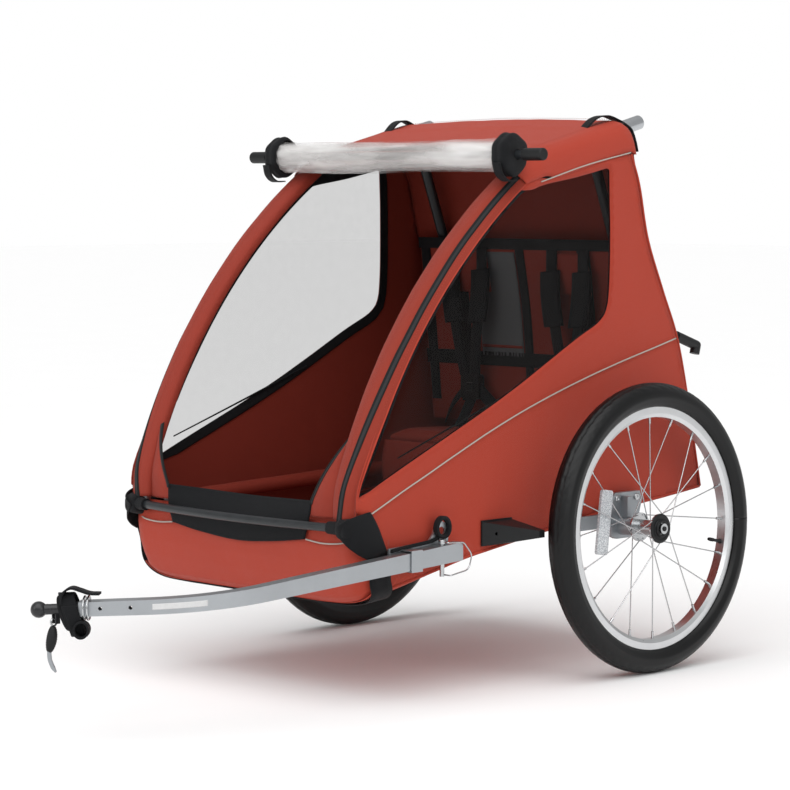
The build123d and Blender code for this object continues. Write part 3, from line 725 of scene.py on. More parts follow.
def side_fabric(side):
    """Side panel with its window, binding, piping, hem and stitching."""
    name = SIDES[side]

    def on_side(y, z, lift=0.0):
        return at(side * (side_x(y, z) + lift), y, z)

    def along(line, lift, y=0, z=0):
        return [on_side(p.x + y, p.y + z, lift) for p in line]

    panel = patch(f"side_fabric_{name}", side_outline(), on_side, "red", holes=[window_outline()])
    thicken(panel, 1.0, inner="lining")
    window = patch(f"side_window_{name}", window_outline(9, 2), lambda y, z: on_side(y, z, -1.3), "window",
                   spacing=15)
    edge, outer = window_outline(-1, -8), window_outline(17, 2)
    rows = []
    for i, (a, b) in enumerate(zip(edge + edge[:1], outer + outer[:1])):
        beside_pillar = sin(pi * (i + 0.5) / PILLAR_COUNT) ** 0.5 if i < PILLAR_COUNT else 0.0
        rows.append([on_side(*a.lerp(b, t), -2.6 - 2 * t * beside_pillar) for t in spread(0, 1, 5)])
    binding = layer(f"window_binding_{name}", rows, "web", 1.2)
    piping = tube(f"side_piping_{name}", along(smooth_line(PIPING, 120), 1.5), 1.3, "piping", sides=10)
    hem = tube(f"side_hem_{name}", along(smooth_line(HEM, 110), -0.2), 2.6, "red", sides=10)
    roof_piping = tube(f"roof_piping_{name}", along(smooth_line(ROOF_SEAM, 40), 1.6), 1.2, "piping", sides=8)
    seams = []
    for offset in (4, 8):
        around = window_outline(offset, 0)
        seams.append(along(around + around[:1], STITCH_LIFT))
    for drop in (-6, 6):
        seams.append(along(smooth_line(PIPING, 60), STITCH_LIFT, z=drop))
    seams.append(along(smooth_line(REAR_SEAM, 60), STITCH_LIFT, y=-9))
    thread = sewn(f"side_stitching_{name}", seams)
    folding(panel, piping, hem, roof_piping, thread)
    folding(window, slot="clear_vinyl")
    folding(binding, slot="black_webbing")
    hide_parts(f"side_panel_{name}")
    cloth(panel)
    cloth(window)


def window_cord():
    """Elastic cord across the inside of each window, from the pillar to the lower edge."""
    front, rear = Vector((-521, 399)), Vector((-205, 508))
    for side, name in SIDES.items():
        line = [at(side * (281 - 1.2 * sin(pi * t)), *front.lerp(rear, t)) for t in spread(0, 1, 31)]
        cord = tube(f"window_cord_{name}", line, lambda t: 1.2 + 0.9 * t, "web", sides=10)
        folding(cord, slot="black_webbing")


# ---- Sleeves round the cage's pillars ----
SLEEVE = [(231, -3), (230.6, 3), (233, 9), (240, 13), (249, 15.2), (258, 15.6), (266, 13.8), (272, 8.5),
          (278, 1), (282.6, -5), (285.6, -9.6)]
SLEEVE_FOOT = 24


def sleeve_flare(s):
    """How much the sleeve widens towards its foot."""
    return 2 * max(0.0, 1 - (s - SLEEVE_FOOT) / 60)


def sleeve_out(x, s):
    """Height of the sleeve's surface at x, gently wavy along the pillar."""
    line = smooth_line(SLEEVE[3:], 40)
    for a, b in zip(line, line[1:]):
        if x <= b.x:
            return a.y + (b.y - a.y) * (x - a.x) / (b.x - a.x) + 0.7 * ripple(s, x, 60, 4.2) + sleeve_flare(s)
    return line[-1].y


def sleeve(side):
    """Fabric wrapped round the front of a pillar, with its zip, stitching and outer edge."""
    name, last = SIDES[side], length_at_y(-214)
    profile = smooth_line(SLEEVE, 36)
    rows = []
    for s in spread(SLEEVE_FOOT, last, 110):
        row = []
        for j, (x, out) in enumerate(profile):
            wave = 0.7 * ripple(s, x, 60, 4.2) + 0.25 * ripple(s, j * 20, 16, 8.8)
            tucked = (window_front(s) + 10) * max(0.0, (x - 276) / 9.6)
            row.append(cage_point(side * (x - 0.35 * tucked), s, out + sleeve_flare(s) + wave + tucked))
        rows.append(row)
    # The sleeve takes the darker red: painted shade.
    cover = layer(f"pillar_sleeve_{name}", rows, "sleeve", 0.9, inner="lining")
    rows = []
    for s in spread(12, last, 150):
        aside = 1 - max(0.0, 1 - (s - 100) / 400) ** 3
        rows.append([cage_point(side * x, s, sleeve_out(x, max(s, SLEEVE_FOOT)) + 0.7)
                     for x in spread(257.5 + 14 * aside, 267 + 11 * aside, 9)])
    zipper = layer(f"pillar_zip_{name}", rows, "zip", 1.1)
    seams = [[cage_point(side * x, s, sleeve_out(x, s) + 0.9 + share * (window_front(s) + 10))
              for s in spread(36, last - 4, 90)] for x, share in ((251, 0), (281, 0.55))]
    thread = sewn(f"sleeve_stitching_{name}", seams)
    edge = [cage_point(side * (285.3 - 0.3 * (window_front(s) + 10)), s, window_front(s) + 0.2)
            for s in spread(46, last, 91)]
    piping = tube(f"sleeve_edge_{name}", edge, 1.4, "red", sides=8)
    riding("cage", cover, thread, piping)
    riding("cage", zipper, slot="black_webbing")
    cloth(cover)


# ---- Roof and rear ----
ROOF_PROFILE = [(286.6, -37), (285.6, -14), (280.5, 4), (269, 15.5), (250, 19), (200, 21), (100, 24),
                (0, 25.5)]
CROSS_TUBES_Y = (-150, -28)


def roof():
    """Roof over the cage, sagging a little between the cross tubes."""
    profile = mirrored(smooth_line(ROOF_PROFILE, 34))
    first, last = length_at_y(-240, 14), length_at_y(42)
    rows = []
    for t in spread(0, 1, 70):
        s = first + (last - first) * t
        over_tubes = sum(1.3 * max(0.0, 1 - abs(cage_spot(s).x - y) / 22) for y in CROSS_TUBES_Y)
        row = []
        for x, out in profile:
            between = 1 - abs(x) / 286
            sag = -2.6 * between * (0.5 - 0.5 * cos(2 * pi * t))
            wave = (1.2 * ripple(x, s, 120, 5.5) + 0.5 * ripple(x, s, 34, 2.2)) * min(1, between * 3 + 0.25)
            turn_down = -9 * max(0.0, (t - 0.93) / 0.07) ** 2
            hang = out if out > 0 else out * (0.25 + 0.75 * min(1.0, t / 0.3))
            row.append(cage_point(x, s, hang + over_tubes * min(1, between * 4) + sag + wave + turn_down))
        rows.append(row)
    skin = layer("roof_fabric", rows, "red", 1.2, inner="lining")
    seams = [[cage_point(x, s, 20.2) for s in spread(first + 12, last - 12, 61)] for x in (252, -252)]
    seams += [[cage_point(x, s, 17.5 + 9 * (1 - abs(x) / 262) ** 0.5) for x in spread(-262, 262, 61)]
              for s in (last - 9, last - 14)]
    riding("cage", skin, sewn("roof_stitching", seams))
    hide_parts("roof_panel")
    cloth(skin)


def rear_cover():
    """Rear of the body, bulging a little behind its seams, with a pocket and its zip."""
    seam = smooth_line([(36, 905), (42, 888), *REAR_SEAM[1:-1], (234, 300)], 90)
    last = len(seam) - 1
    roof_end = length_at_y(40)
    ways = [square_to(seam[max(i - 1, 0)], seam[min(i + 1, last)]) for i in range(len(seam))]

    def behind(x, i, lift):
        return at(x, *(seam[i] + ways[i] * lift))

    rows = []
    for i in range(len(seam)):
        share = i / last
        swell = 5 + 14 * min(1, share * 6) * min(1, (1 - share) * 5)
        closing = max(0.0, 1 - share * 7) ** 2
        row = []
        for u in spread(-1, 1, 81):
            x = 285.8 * u
            creases = 2.0 * ripple(x, i * 8, 130, 6.1) + 0.7 * ripple(x, i * 8, 30, 9.4)
            bulge = (swell * (1 - abs(u) ** 7) + creases) * (1 - abs(u) ** 9)
            heel = 7 * limit((share - 0.8) / 0.14) * (1 - abs(u) ** 40)
            roof_edge = cage_point(x, roof_end, 15.5 - 5.5 * u ** 2 - 56 * abs(u) ** 16)
            row.append(behind(x, i, max(heel, bulge)).lerp(roof_edge, closing))
        rows.append(row)
    panel = layer("rear_fabric", rows, "red", 1.0, inner="lining")
    pipings = [tube(f"rear_piping_{name}", [at(side * 286.2, *p) for p in seam[2:]], 1.9, "red", sides=10)
               for side, name in SIDES.items()]
    rows = [[behind(x, i, 22.5 + 0.6 * ripple((x + 150) * 0.9, (i - 30) * 8, 30))
             for x in spread(-150, 150, 31)] for i in range(30, 42)]
    pocket = layer("rear_pocket_flap", rows, "red", 1.4)
    rows = []
    for x in spread(-150, 150, 61):
        a, b = behind(x, 43, 22), behind(x, 44, 22)
        rows.append([a, a.lerp(b, 0.5), b])
    rear_zip = layer("rear_zip", rows, "zip", 1.6)
    folding(panel, *pipings, pocket)
    folding(rear_zip, slot="black_webbing")
    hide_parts("rear_panel")
    cloth(panel)
    cloth(pocket)


# ---- Tub ----
def rounded_plan(half, front, radius, rear, count):
    """Plan line of the nose from the right side round the front to the left side."""
    arc = [(half - radius + radius * sin(radians(a)), front + radius - radius * cos(radians(a)))
           for a in range(0, 91, 9)]
    right = [(0, front)] + arc + [(half, rear)]
    return evenly([(-x, y) for x, y in right[::-1]] + right[1:], count)


def nose():
    """Front of the tub, from the belly up behind the bumper, with its piping."""
    # Each level: height at the middle, height at the edge, front, half width, corner radius.
    levels = [(163, 185, -572, 283, 34), (164, 186, -584, 284, 34), (172, 193, -594, 284, 34),
              (200, 210, -604, 285, 34), (229, 229, -611, 286, 34), (258, 258, -615, 286, 34),
              (280, 280, -614, 285, 33), (298, 298, -606, 284, 32)]
    steps = 6
    finer = [[p + (q - p) * k / steps for p, q in zip(low, high)]
             for low, high in zip(levels, levels[1:]) for k in range(steps)]
    rows = []
    for middle_z, edge_z, front, half, radius in finer + [levels[-1]]:
        row = []
        for x, y in rounded_plan(half, front, radius, -545, 121):
            u = abs(x) / half
            wave = 1.4 * ripple(x, middle_z, 90, 2.7) + 0.5 * ripple(x * 1.6, middle_z, 24, 6.6)
            row.append(at(x, y - wave * min(1, (1 - u) * 8), middle_z + (edge_z - middle_z) * u ** 9))
        rows.append(row)
    panel = layer("nose_fabric", rows, "red", 1.1, inner="lining")
    on_tub(panel)
    cloth(panel)
    for side, name in SIDES.items():
        line = curve([(168, -618.5, 266), (205, -618.5, 263), (240, -618, 265), (262, -611, 269)], 40, side)
        on_tub(tube(f"nose_piping_{name}", line, 1.3, "piping", sides=8))


def belly():
    """Floor of the tub, hanging a little between the hems, and the footwell cloth over it in red with painted
    shade.
    """
    line = smooth_line([(238, 299)] + HEM[1:] + [(-566, 186), (-584, 185)], 90)
    rows = []
    for share, (y, z) in zip(spread(0, 1, len(line)), line):
        row = []
        for u in spread(-1, 1, 91):
            x = 284.5 * u
            wave = (1.6 * ripple(x, y, 140, 1.9) + 0.5 * ripple(x, y, 40, 3.3)) * min(1, (1 - abs(u)) * 14)
            row.append(at(x, y, z - (9 + 13 * share ** 2) * (1 - abs(u) ** 10) + wave))
        rows.append(row)
    floor = layer("tub_floor", rows, "red", 1.4, inner="lining")
    on_tub(floor)
    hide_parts("tub")
    cloth(floor)
    rows = []
    for y in spread(-560, -120, 40):
        z = 183 + (y + 560) * 0.162
        rows.append([at(262 * u, y, z + 0.8 * ripple(240 * (u + 1), y, 60) + 20 * abs(u) ** 12)
                     for u in spread(-1, 1, 41)])
    lining = layer("footwell_lining", rows, "lining", 1.6)
    on_tub(lining)
    cloth(lining)


def rail_sleeves():
    """Red fabric with painted shade wrapped round each side rail, inside the cabin."""
    for side, name in SIDES.items():
        low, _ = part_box(f"side_rail_{name}")
        front = Vector((side * TUBE_X, (low.y - AXLE_Y) * 1000 + 24, 292))
        rear = Vector((side * TUBE_X, 190, 319.5))
        line = []
        for t in spread(0, 1, 90):
            x, y, z = front.lerp(rear, t)
            line.append(at(x, y, z + 0.5 * ripple(y, side * 9, 40)))
        on_tub(tube(f"rail_sleeve_{name}", line, lambda t: 13.3 + 0.3 * ripple(t * 700, 3, 26), "lining",
                    sides=22))


def tub_rear():
    """Low wall between the luggage space and the rear hem."""
    rows = [[at(-196 + 392 * k / 60, 228 - 0.16 * (z - 303) + 1.2 * ripple(k * 9, z, 70), z)
             for k in range(61)] for z in spread(303, 423, 26)]
    wall = layer("luggage_wall", rows, "red", 1.2)
    on_tub(wall)
    cloth(wall)


def kick_panel():
    """Black scuff panel over the middle of the nose; its top edge dips back into the footwell."""
    top, middle, bottom = [smooth_line(mirrored(half), 61) for half in (
        [(-181, -616, 330), (-120, -598, 326), (0, -584, 322)],
        [(-176, -621, 292), (-90, -623, 290), (0, -624, 288)],
        [(-166, -619, 266), (-90, -619, 256), (0, -619, 250)])]
    rows = []
    for t in spread(0, 1, 25):
        row = []
        for a, b, c in zip(top, middle, bottom):
            straight = a.lerp(b, 2 * t) if t < 0.5 else b.lerp(c, 2 * t - 1)
            x, y, z = straight.lerp(bow(a, b, c, t), 0.5)
            row.append(at(x, y - 0.8 * ripple(x, z, 60, 4.4), z))
        rows.append(row)
    panel = layer("kick_panel", rows, "black", 1.6)
    on_tub(panel, slot="black_webbing")
    cloth(panel)
    seams = [[point + Vector((0, -0.0012, 0)) for point in row] for row in (rows[1], rows[-2])]
    on_tub(sewn("kick_stitching", seams, "black"), slot="black_webbing")


def gusset(side):
    """Red fabric between the pillar and the front opening's zip, widening downwards."""
    name = SIDES[side]
    wide_z, narrow_z, front_y = 330, 447, -616
    outer, inner = [], []
    for s in spread(24, 176, 40):
        y, z = cage_spot(s, 1.5)
        lean = limit((narrow_z - z) / (narrow_z - wide_z))
        outer.append(Vector((238, y, z)))
        inner.append(Vector((243 - 62 * lean - 0.3 * max(0, wide_z - z), y + (front_y - y) * lean, z)))
    rows = []
    for a, b in zip(outer, inner):
        row = []
        for t in spread(0, 1, 17):
            x, y, z = a.lerp(b, t)
            row.append(at(side * x, y + (0.8 * ripple(x * 2, z, 40, 3.8) - 5) * sin(pi * t), z))
        rows.append(row)
    # The gusset takes the darker red: painted shade.
    panel = layer(f"front_gusset_{name}", rows, "sleeve", 1.0, inner="lining")
    edge = [at(side * x, y - 1.6, z) for x, y, z in inner if z > 322]
    for k in range(1, 28):
        aside = min(1, k / 6)
        edge.append(cage_point(side * (232.5 + 6 * aside), 176 + 20 * k, -1 - 7 * aside))
    strip = ribbon(f"opening_zip_{name}", edge, lambda t: (0.25 + side * (1 - t), 0.8 * side * t, 0.9 * t),
                   6.5, "zip", 1.5, 120)
    folding(panel)
    folding(strip, slot="black_webbing")
    cloth(panel)


# ---- Webbing round the footwell, corners and receiver ----
def footwell_webbing():
    """One wide band from each corner's flap, down the sides and under the footwell."""
    route = [(288.5, -575, 249), (288.5, -568, 226), (287.2, -566, 202), (285.6, -561, 186),
             (270, -556, 171.5), (236, -555, 163.5), (180, -555, 161.5), (120, -555, 161.3), (0, -555, 161)]
    band = ribbon("footwell_webbing", curve(mirrored(route), 160), (0, 1, 0.1), 46, "web", 2.2, 170)
    on_tub(band, slot="black_webbing")
    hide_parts("footwell_strap")


def corner_cover(side):
    """Webbing wrapped round the corner casting: a padded front and a wide flap down the side."""
    front, crest, rear = [smooth_line(line, 26) for line in (
        [(256, -636, 290), (265, -635, 278), (277, -629, 264), (285, -614, 251), (289, -599, 243)],
        [(276, -632, 306), (283, -622, 299), (288, -612, 287), (290.5, -597, 268), (291, -579, 246)],
        [(289, -590, 318), (290, -582, 306), (290.5, -571, 287), (290.5, -559, 262), (290, -553, 250)])]
    rows = []
    for a, b, c in zip(front, crest, rear):
        row = []
        for t in spread(0, 1, 25):
            x, y, z = bow(a, 2 * b - (a + c) / 2, c, t)
            row.append(at(side * (x + 0.7 * ripple(y, z, 22, 4.8)), y, z))
        rows.append(row)
    flap = layer("flap", rows, "web", 2.0)
    rows = []
    for turn in spread(0, pi, 33):
        row = []
        for a in angles(48):
            squareness = (abs(cos(a)) ** 3.4 + abs(sin(a)) ** 3.4) ** (-1 / 3.4)
            swell = 19 * abs(sin(turn)) ** 0.5 * squareness * (1 + 0.04 * ripple(a * 20, turn * 20, 22, 5.9))
            row.append(at(side * (266 + swell * cos(a)), -608 - 28 * cos(turn), 290 + swell * sin(a)))
        rows.append(row)
    lump = grid("lump", rows, "web", closed=True)
    sock = tube("sock", [at(side * x, -622 - 3 * (252 - x) / 20, 291) for x in range(230, 257, 2)],
                lambda t: 10.2 + 1.2 * t, "web", sides=24)
    whole = join(f"corner_cover_{SIDES[side]}", [flap, lump, sock])
    on_tub(whole, slot="black_webbing")
    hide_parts(f"corner_block_{SIDES[side]}")


def receiver_eye():
    """Webbing loop through the eye at the rear of the arm's receiver, and its tail along the side."""
    loop = [at(303.4, -441 + 14.5 * cos(a), 281 + 15.5 * sin(a) * (1.1 if sin(a) > 0 else 0.95))
            for a in spread(0, 2 * pi, 41)]
    ring = ribbon("eye", loop, (1, 0.1, 0), 8, "web", 6.2, 44)
    tail = curve([(302.6, -448, 266), (302.4, -470, 261), (302.2, -520, 257), (302, -556, 253)], 20)
    strap = ribbon("tail", tail, (0, 0.1, 1), 6, "web", 2.2, 24)
    on_tub(join("receiver_webbing", [ring, strap]), slot="black_webbing")


# ---- Seats ----
def seat_front(z):
    """How far back the seat's back leans at a height."""
    return 96 + (z - 400) * (60 - 96) / (733 - 400)


def cushion(name, low_x, high_x):
    """One seat's pad: a crowned form with pulled-in sides, softened by a cloth simulation."""
    mesh = bmesh.new()
    width, depth, thick = high_x - low_x, 204.0, 30.0
    middle_x, middle_y, middle_z = (low_x + high_x) / 2, 15, 372
    nx, ny, nz = 18, 18, 4
    corners = {}
    for i, j, k in np.ndindex(nx + 1, ny + 1, nz + 1):
        if 0 < i < nx and 0 < j < ny and 0 < k < nz:
            continue
        u, v, w = i / nx * 2 - 1, j / ny * 2 - 1, k / nz * 2 - 1
        pull = 1 - 0.035 * (1 - u ** 2) * (abs(v) > 0.9)
        crown = (1 - u ** 4) * (1 - v ** 4)
        x = middle_x + u * width / 2 * (1 - 0.05 * w ** 2) * (1 - 0.025 * (1 - v ** 2))
        y = middle_y + v * depth / 2 * (1 - 0.05 * w ** 2) * pull
        z = middle_z - 0.045 * (y - middle_y) + w * thick / 2 * (0.55 + 0.45 * crown) - (1.5 if w < 0 else 0)
        corners[i, j, k] = mesh.verts.new(at(x, y, z))

    def face(around, flip):
        mesh.faces.new([corners[spot] for spot in (around[::-1] if flip else around)])

    for i, j in np.ndindex(nx, ny):
        for k in (0, nz):
            face([(i, j, k), (i + 1, j, k), (i + 1, j + 1, k), (i, j + 1, k)], k == 0)
    for k in range(nz):
        for i in range(nx):
            for j in (0, ny):
                face([(i, j, k), (i + 1, j, k), (i + 1, j, k + 1), (i, j, k + 1)], j == ny)
        for j in range(ny):
            for i in (0, nx):
                face([(i, j, k), (i, j + 1, k), (i, j + 1, k + 1), (i, j, k + 1)], i == 0)
    data = bpy.data.meshes.new(name)
    mesh.to_mesh(data)
    mesh.free()
    piece = link(name, data)
    inflate(piece, cap=0.006)
    finer = piece.modifiers.new("finer", "SUBSURF")
    finer.levels = finer.render_levels = 1
    done = settle(piece)
    uv_map = done.uv_layers.new(name="cloth")
    for loop in done.loops:
        spot = done.vertices[loop.vertex_index].co
        uv_map.data[loop.index].uv = (spot.x, spot.y + spot.z)
    done.polygons.foreach_set("use_smooth", [True] * len(done.polygons))
    # The cushions take the red with painted shade of the interior.
    done.materials.append(FINISH["lining"])
    on_tub(piece)
    return piece


def inflate(piece, cap, frames=20):
    """Blow the closed form up a little as cloth, no point further than cap."""
    remesh = piece.modifiers.new("even", "REMESH")
    remesh.mode = "VOXEL"
    remesh.voxel_size = 0.006
    rest = [vertex.co.copy() for vertex in settle(piece).vertices]
    air = piece.modifiers.new("air", "CLOTH")
    air.settings.use_pressure = True
    air.settings.uniform_pressure_force = 4
    air.settings.effector_weights.gravity = 0
    air.settings.quality = 5
    air.point_cache.frame_start = 1
    air.point_cache.frame_end = frames
    for moment in range(1, frames + 1):
        bpy.context.scene.frame_set(moment)
    for vertex, start in zip(settle(piece).vertices, rest):
        step = vertex.co - start
        if step.length > cap:
            vertex.co = start + step * cap / step.length
    bpy.context.scene.frame_set(1)


def seats():
    """Two cushions and the apron that hangs before them."""
    left = cushion("seat_cushion_left", 4, 196)
    right = cushion("seat_cushion_right", -196, -4)
    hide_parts("seat_base")
    rows = [[at(-196 + 392 * k / 50, -88 - 7 * sin(pi * t) + 1.5 * ripple(k * 8, t * 90, 60), 372 - 96 * t)
             for k in range(51)] for t in spread(0, 1, 22)]
    skirt = layer("seat_apron", rows, "lining", 1.4)
    on_tub(skirt)
    cloth(skirt)


def seat_sling():
    """Hammock back for both seats, with its black bands, label panel and head rests."""
    def spot(x, z, lift):
        hollow = 12 * (1 - (abs(x) / 252) ** 2) * sin(pi * (z - 395) / 345)
        return at(x, seat_front(z) + hollow + 1.3 * ripple(x, z * 0.12, 26, 8.3) - lift, z)

    def on_back(left, right, columns, top, bottom, count, lift=0.0):
        return [[spot(x, z, lift) for x in spread(left, right, columns)] for z in spread(top, bottom, count)]

    sling = layer("seat_sling", on_back(-252, 252, 85, 738, 398, 71), "lining", 1.4)
    folding(sling)
    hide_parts("seat_back")
    cloth(sling)
    bands = [layer("across", on_back(-254, 254, 85, top, bottom, 5, 2.2), "web", 2.0)
             for top, bottom in ((741, 721), (531, 505))]
    bands += [layer("down", on_back(x - width / 2, x + width / 2, 5, 736, 436, 41, 1.9), "web", 1.8)
              for x, width in ((0, 20), (-156, 30), (156, 30), (-238, 22), (238, 22))]
    folding(join("seat_bands", bands), slot="black_webbing")
    folding(layer("seat_label_panel", on_back(-116, -13, 17, 716, 524, 31, 2.6), "grey", 1.2))
    folding(layer("seat_label_stripe", on_back(-114, -15, 13, 544, 539, 3, 3.6), "lining", 0.8))
    for side, name in SIDES.items():
        rows = [[spot(side * (81 + 88 * u), 716 - 74 * t, 6 + 6 * sin(pi * u) * sin(pi * t))
                 for u in spread(0, 1, 21)] for t in spread(0, 1, 17)]
        folding(layer(f"head_rest_{name}", rows, "lining", 5))


def harness():
    """Five-point harness of each seat: padded shoulder straps meeting in a Y, hip straps and crotch strap."""
    straps, pads, lower = [], [], []
    for centre in (-125, 125):
        for lean in (-1, 1):
            shoulder = [(centre + lean * aside, seat_front(z) - lift, z)
                        for aside, lift, z in ((38, 7, 722), (37, 16, 640), (24, 24, 560))]
            line = curve([*shoulder, (centre + lean * 13, 64, 486)], 30)
            straps.append(ribbon("strap", line, (1, 0, 0.1), 25, "web", 1.8, 50))
            padding = [at(x, y - 3.5, z) for x, y, z in smooth_line(shoulder, 40)[9:34]]
            pads.append(ribbon("pad", padding, (1, 0, 0.1), 42, "black", 7, 26))
            hip = curve([(centre + lean * 88, 92, 404), (centre + lean * 55, 74, 430),
                         (centre + lean * 18, 68, 462)], 24)
            lower.append(ribbon("hip", hip, (0.3, 0.1, 1), 25, "web", 1.8, 24))
        crotch = curve([(centre, 34, 392), (centre, 50, 414), (centre, 68, 444)], 20)
        lower.append(ribbon("crotch", crotch, (1, 0, 0), 25, "web", 1.8, 20))
    whole = join("harness_shoulders", straps)
    folding(whole, join("harness_pads", pads), slot="black_webbing")
    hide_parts("harness_straps")
    on_tub(join("harness_lower", lower), slot="black_webbing")


# ---- Rolled cover ----
COVER = Vector((-263, 888))


def round_cover(x, radius, angle, drop=0.0):
    """Point round the cover rod's axis."""
    return at(x, COVER.x + radius * cos(angle), COVER.y + radius * sin(angle) - drop)


def cover_roll():
    """Clear front cover rolled four times round its rod, creased and a little baggy."""
    turns, around = 4, 40
    rows = []
    for share in spread(0, 1, turns * around + 1):
        angle = 2 * pi * turns * share + 0.6
        row = []
        for u in spread(0, 1, 111):
            x = -271 + 542 * u
            loose = abs(sin(pi * u)) ** 0.5
            crease = 2.6 * ripple(x * 0.3, angle * 20, 30, 3.4) + 0.9 * ripple(x, angle * 26, 17, 7.1)
            twist = 0.7 * sin(2 * angle + x / 70)
            gathered = 1 - min(1, 9 * min(u, 1 - u))
            fold = 6.5 * exp(-((angle % (2 * pi) - 2.75 - 0.25 * sin(x / 90)) / 0.17) ** 2 - (x / 150) ** 2)
            pleat = 1.5 * gathered * sin(11 * angle + x / 9)
            radius = 18 + (11 + pleat - fold) * share
            radius += (crease + twist) * (0.3 + 0.7 * loose) * (0.35 + 0.65 * share)
            row.append(round_cover(x, min(radius, 34.0), angle, 1.5 * loose))
        rows.append(row)
    roll = grid("rolled_cover", rows, "clear")
    riding("cage", roll, slot="clear_vinyl")
    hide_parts("rain_cover_roll")
    cloth(roll)


def collars():
    """Webbing collars round the roll's ends, their tabs, and the loops over the roof's rear corners."""
    profile = smooth_line([(267, 28), (269.5, 32.5), (275, 34.5), (283, 33.6), (291, 34), (296, 31),
                           (298.5, 24), (299.5, 14), (300.5, 8)], 30)
    pieces = []
    for side in SIDES:
        rows = []
        for x, radius in profile:
            row = []
            for a in angles(48):
                lump = 1.6 * ripple(cos(a) * 40, sin(a) * 40 + x, 24, 2.9) * min(1, radius / 30)
                size = (radius + lump) * (1 - 0.05 * cos(2 * a)) * (1 - 0.03 * cos(6 * a))
                row.append(round_cover(side * x, size, a))
            rows.append(row)
        tab = curve([(285, -298, 874), (286, -292, 856), (287, -277, 845), (287, -258, 845)], 20, side)
        loop = curve([(240, -44, 926), (243, -37, 934), (246, -14, 952), (250, 10, 957.5), (254, 34, 951),
                      (258, 47, 944), (259, 57, 932), (260, 62, 916)], 60, side)
        corner = curve([(262, 40, 944), (266, 52, 934), (268, 60, 915), (268, 66, 896)], 24, side)
        pieces += [grid("collar", rows, "web", closed=True), ribbon("tab", tab, (1, 0, 0), 18, "web", 2, 24),
                   ribbon("loop", loop, lambda t: (1, 0, 0.15 - 0.3 * t), 21, "web", 2.0, 60),
                   ribbon("corner", corner, (1, 0, 0), 24, "web", 2.2, 24)]
    whole = join("roof_webbing_pieces", pieces)
    riding("cage", whole, slot="black_webbing")
    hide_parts("roof_webbing")


# ---- Tow arm: coupling webbing, grip and label ----
ARM_SLOPE = tan(radians(3.6))
BEND = radians(48)
BEND_RADIUS = 228
ARM_X, ARM_Y, ARM_Z = 314, -840, 243
ARM_HEIGHT_Y = -415
ARM_WAY = Vector((-sin(BEND), -cos(BEND), -ARM_SLOPE * cos(BEND)))
ARM_SIDE = Vector((cos(BEND), -sin(BEND), 0))


def arm_height(y):
    """Height of the arm's middle line, which slopes a little."""
    return ARM_Z + (y - ARM_HEIGHT_Y) * ARM_SLOPE


def arm_tip(along, across=0.0, up=0.0):
    """Point by the arm's straight tip, beyond its bend."""
    x = ARM_X - BEND_RADIUS * (1 - cos(BEND)) - along * sin(BEND)
    y = ARM_Y - BEND_RADIUS * sin(BEND) - along * cos(BEND)
    return at(*(Vector((x, y, arm_height(y) + up)) + ARM_SIDE * across))


def coupling_webbing():
    """Safety webbing round the coupling's collar: a flat loop, its inner fold, its tail and a turned end."""
    loop = []
    for a in spread(0.4, 2 * pi + 0.4, 61):
        wide = 1 + 0.06 * sin(3 * a)
        loop.append(arm_tip(110 + 10 * sin(a), 15.5 * cos(a) * wide, -7 + 33 * sin(a) * wide))
    fold = [arm_tip(114 + 4 * cos(a) + 8 * sin(a), 12 * cos(a) + 2, -8 + 26 * sin(a))
            for a in spread(0, 2 * pi, 51)]
    tail = smooth_line([arm_tip(126, 6, 8), arm_tip(124, 5, 24), arm_tip(112, 3, 32), arm_tip(98, 2, 28),
                        arm_tip(84, 2, 23), arm_tip(68, 3, 22)], 40)
    turned = [arm_tip(95 + 11 * cos(a), 12, -31 + 12 * sin(a)) for a in spread(0, 2 * pi, 41)]
    whole = join("coupling_webbing", [
        ribbon("loop", loop, ARM_WAY, 24, "web", 2.4, 70),
        ribbon("fold", fold, ARM_WAY + Vector((0, 0, 0.15)), 21, "web", 2.2, 60),
        ribbon("tail", tail, ARM_SIDE, 22, "web", 3.4, 44),
        ribbon("turned", turned, ARM_SIDE, 18, "web", 3.2, 44)])
    on_tub(whole, slot="black_webbing")
    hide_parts("hitch_strap")


def coupling_grip():
    """Bent pin on its ring, with an oval moulded grip and thumb ridges."""
    low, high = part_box("hitch_pin")
    x = (low.x + high.x) / 2 * 1000
    y = ((low.y + high.y) / 2 - AXLE_Y) * 1000
    z = high.z * 1000
    grip_line = curve([(x, y - 1, z - 13), (x, y - 4, z - 32), (x, y - 9, z - 52)], 40)
    swell = lambda t: (3.2 + 5.0 * sin(pi * limit(t * 1.02)) ** 0.6) * (1 + 0.035 * sin(t * 70))
    grip = tube("coupling_grip", grip_line, swell, "grip", sides=20)
    wire = curve([(x, y - 9, z - 48), (x, y - 8, z - 62), (x, y - 3, z - 74), (x, y + 3, z - 83)], 30)
    pin = tube("coupling_pin_wire", wire, lambda t: 3.4 - 1.6 * max(0, t - 0.8) / 0.2, "cast", sides=14)
    circle = [at(x, y + 5.5 * cos(a), z - 7.1 + 5.5 * sin(a)) for a in spread(0, 2 * pi, 40)]
    ring = tube("coupling_ring", circle, 1.6, "bright", sides=10, cap=False)
    riding("coupling_pin", grip, pin, ring, slot="coupling_grip")
    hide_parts("hitch_pin")


def arm_label():
    """Blank label on the outer side of the arm, in its bend."""
    reach = BEND_RADIUS + 11.25
    rows = []
    for up in spread(-4.5, 4.5, 9):
        row = []
        for turn in spread(BEND * 0.52, BEND * 0.94, 31):
            z = arm_height(ARM_Y - BEND_RADIUS * sin(turn))
            row.append(at(ARM_X - BEND_RADIUS + reach * cos(turn), ARM_Y - reach * sin(turn), z + up))
        rows.append(row)
    on_tub(thicken(grid("arm_label", rows, "label"), 0.3, 1.0), slot="arm_metal")


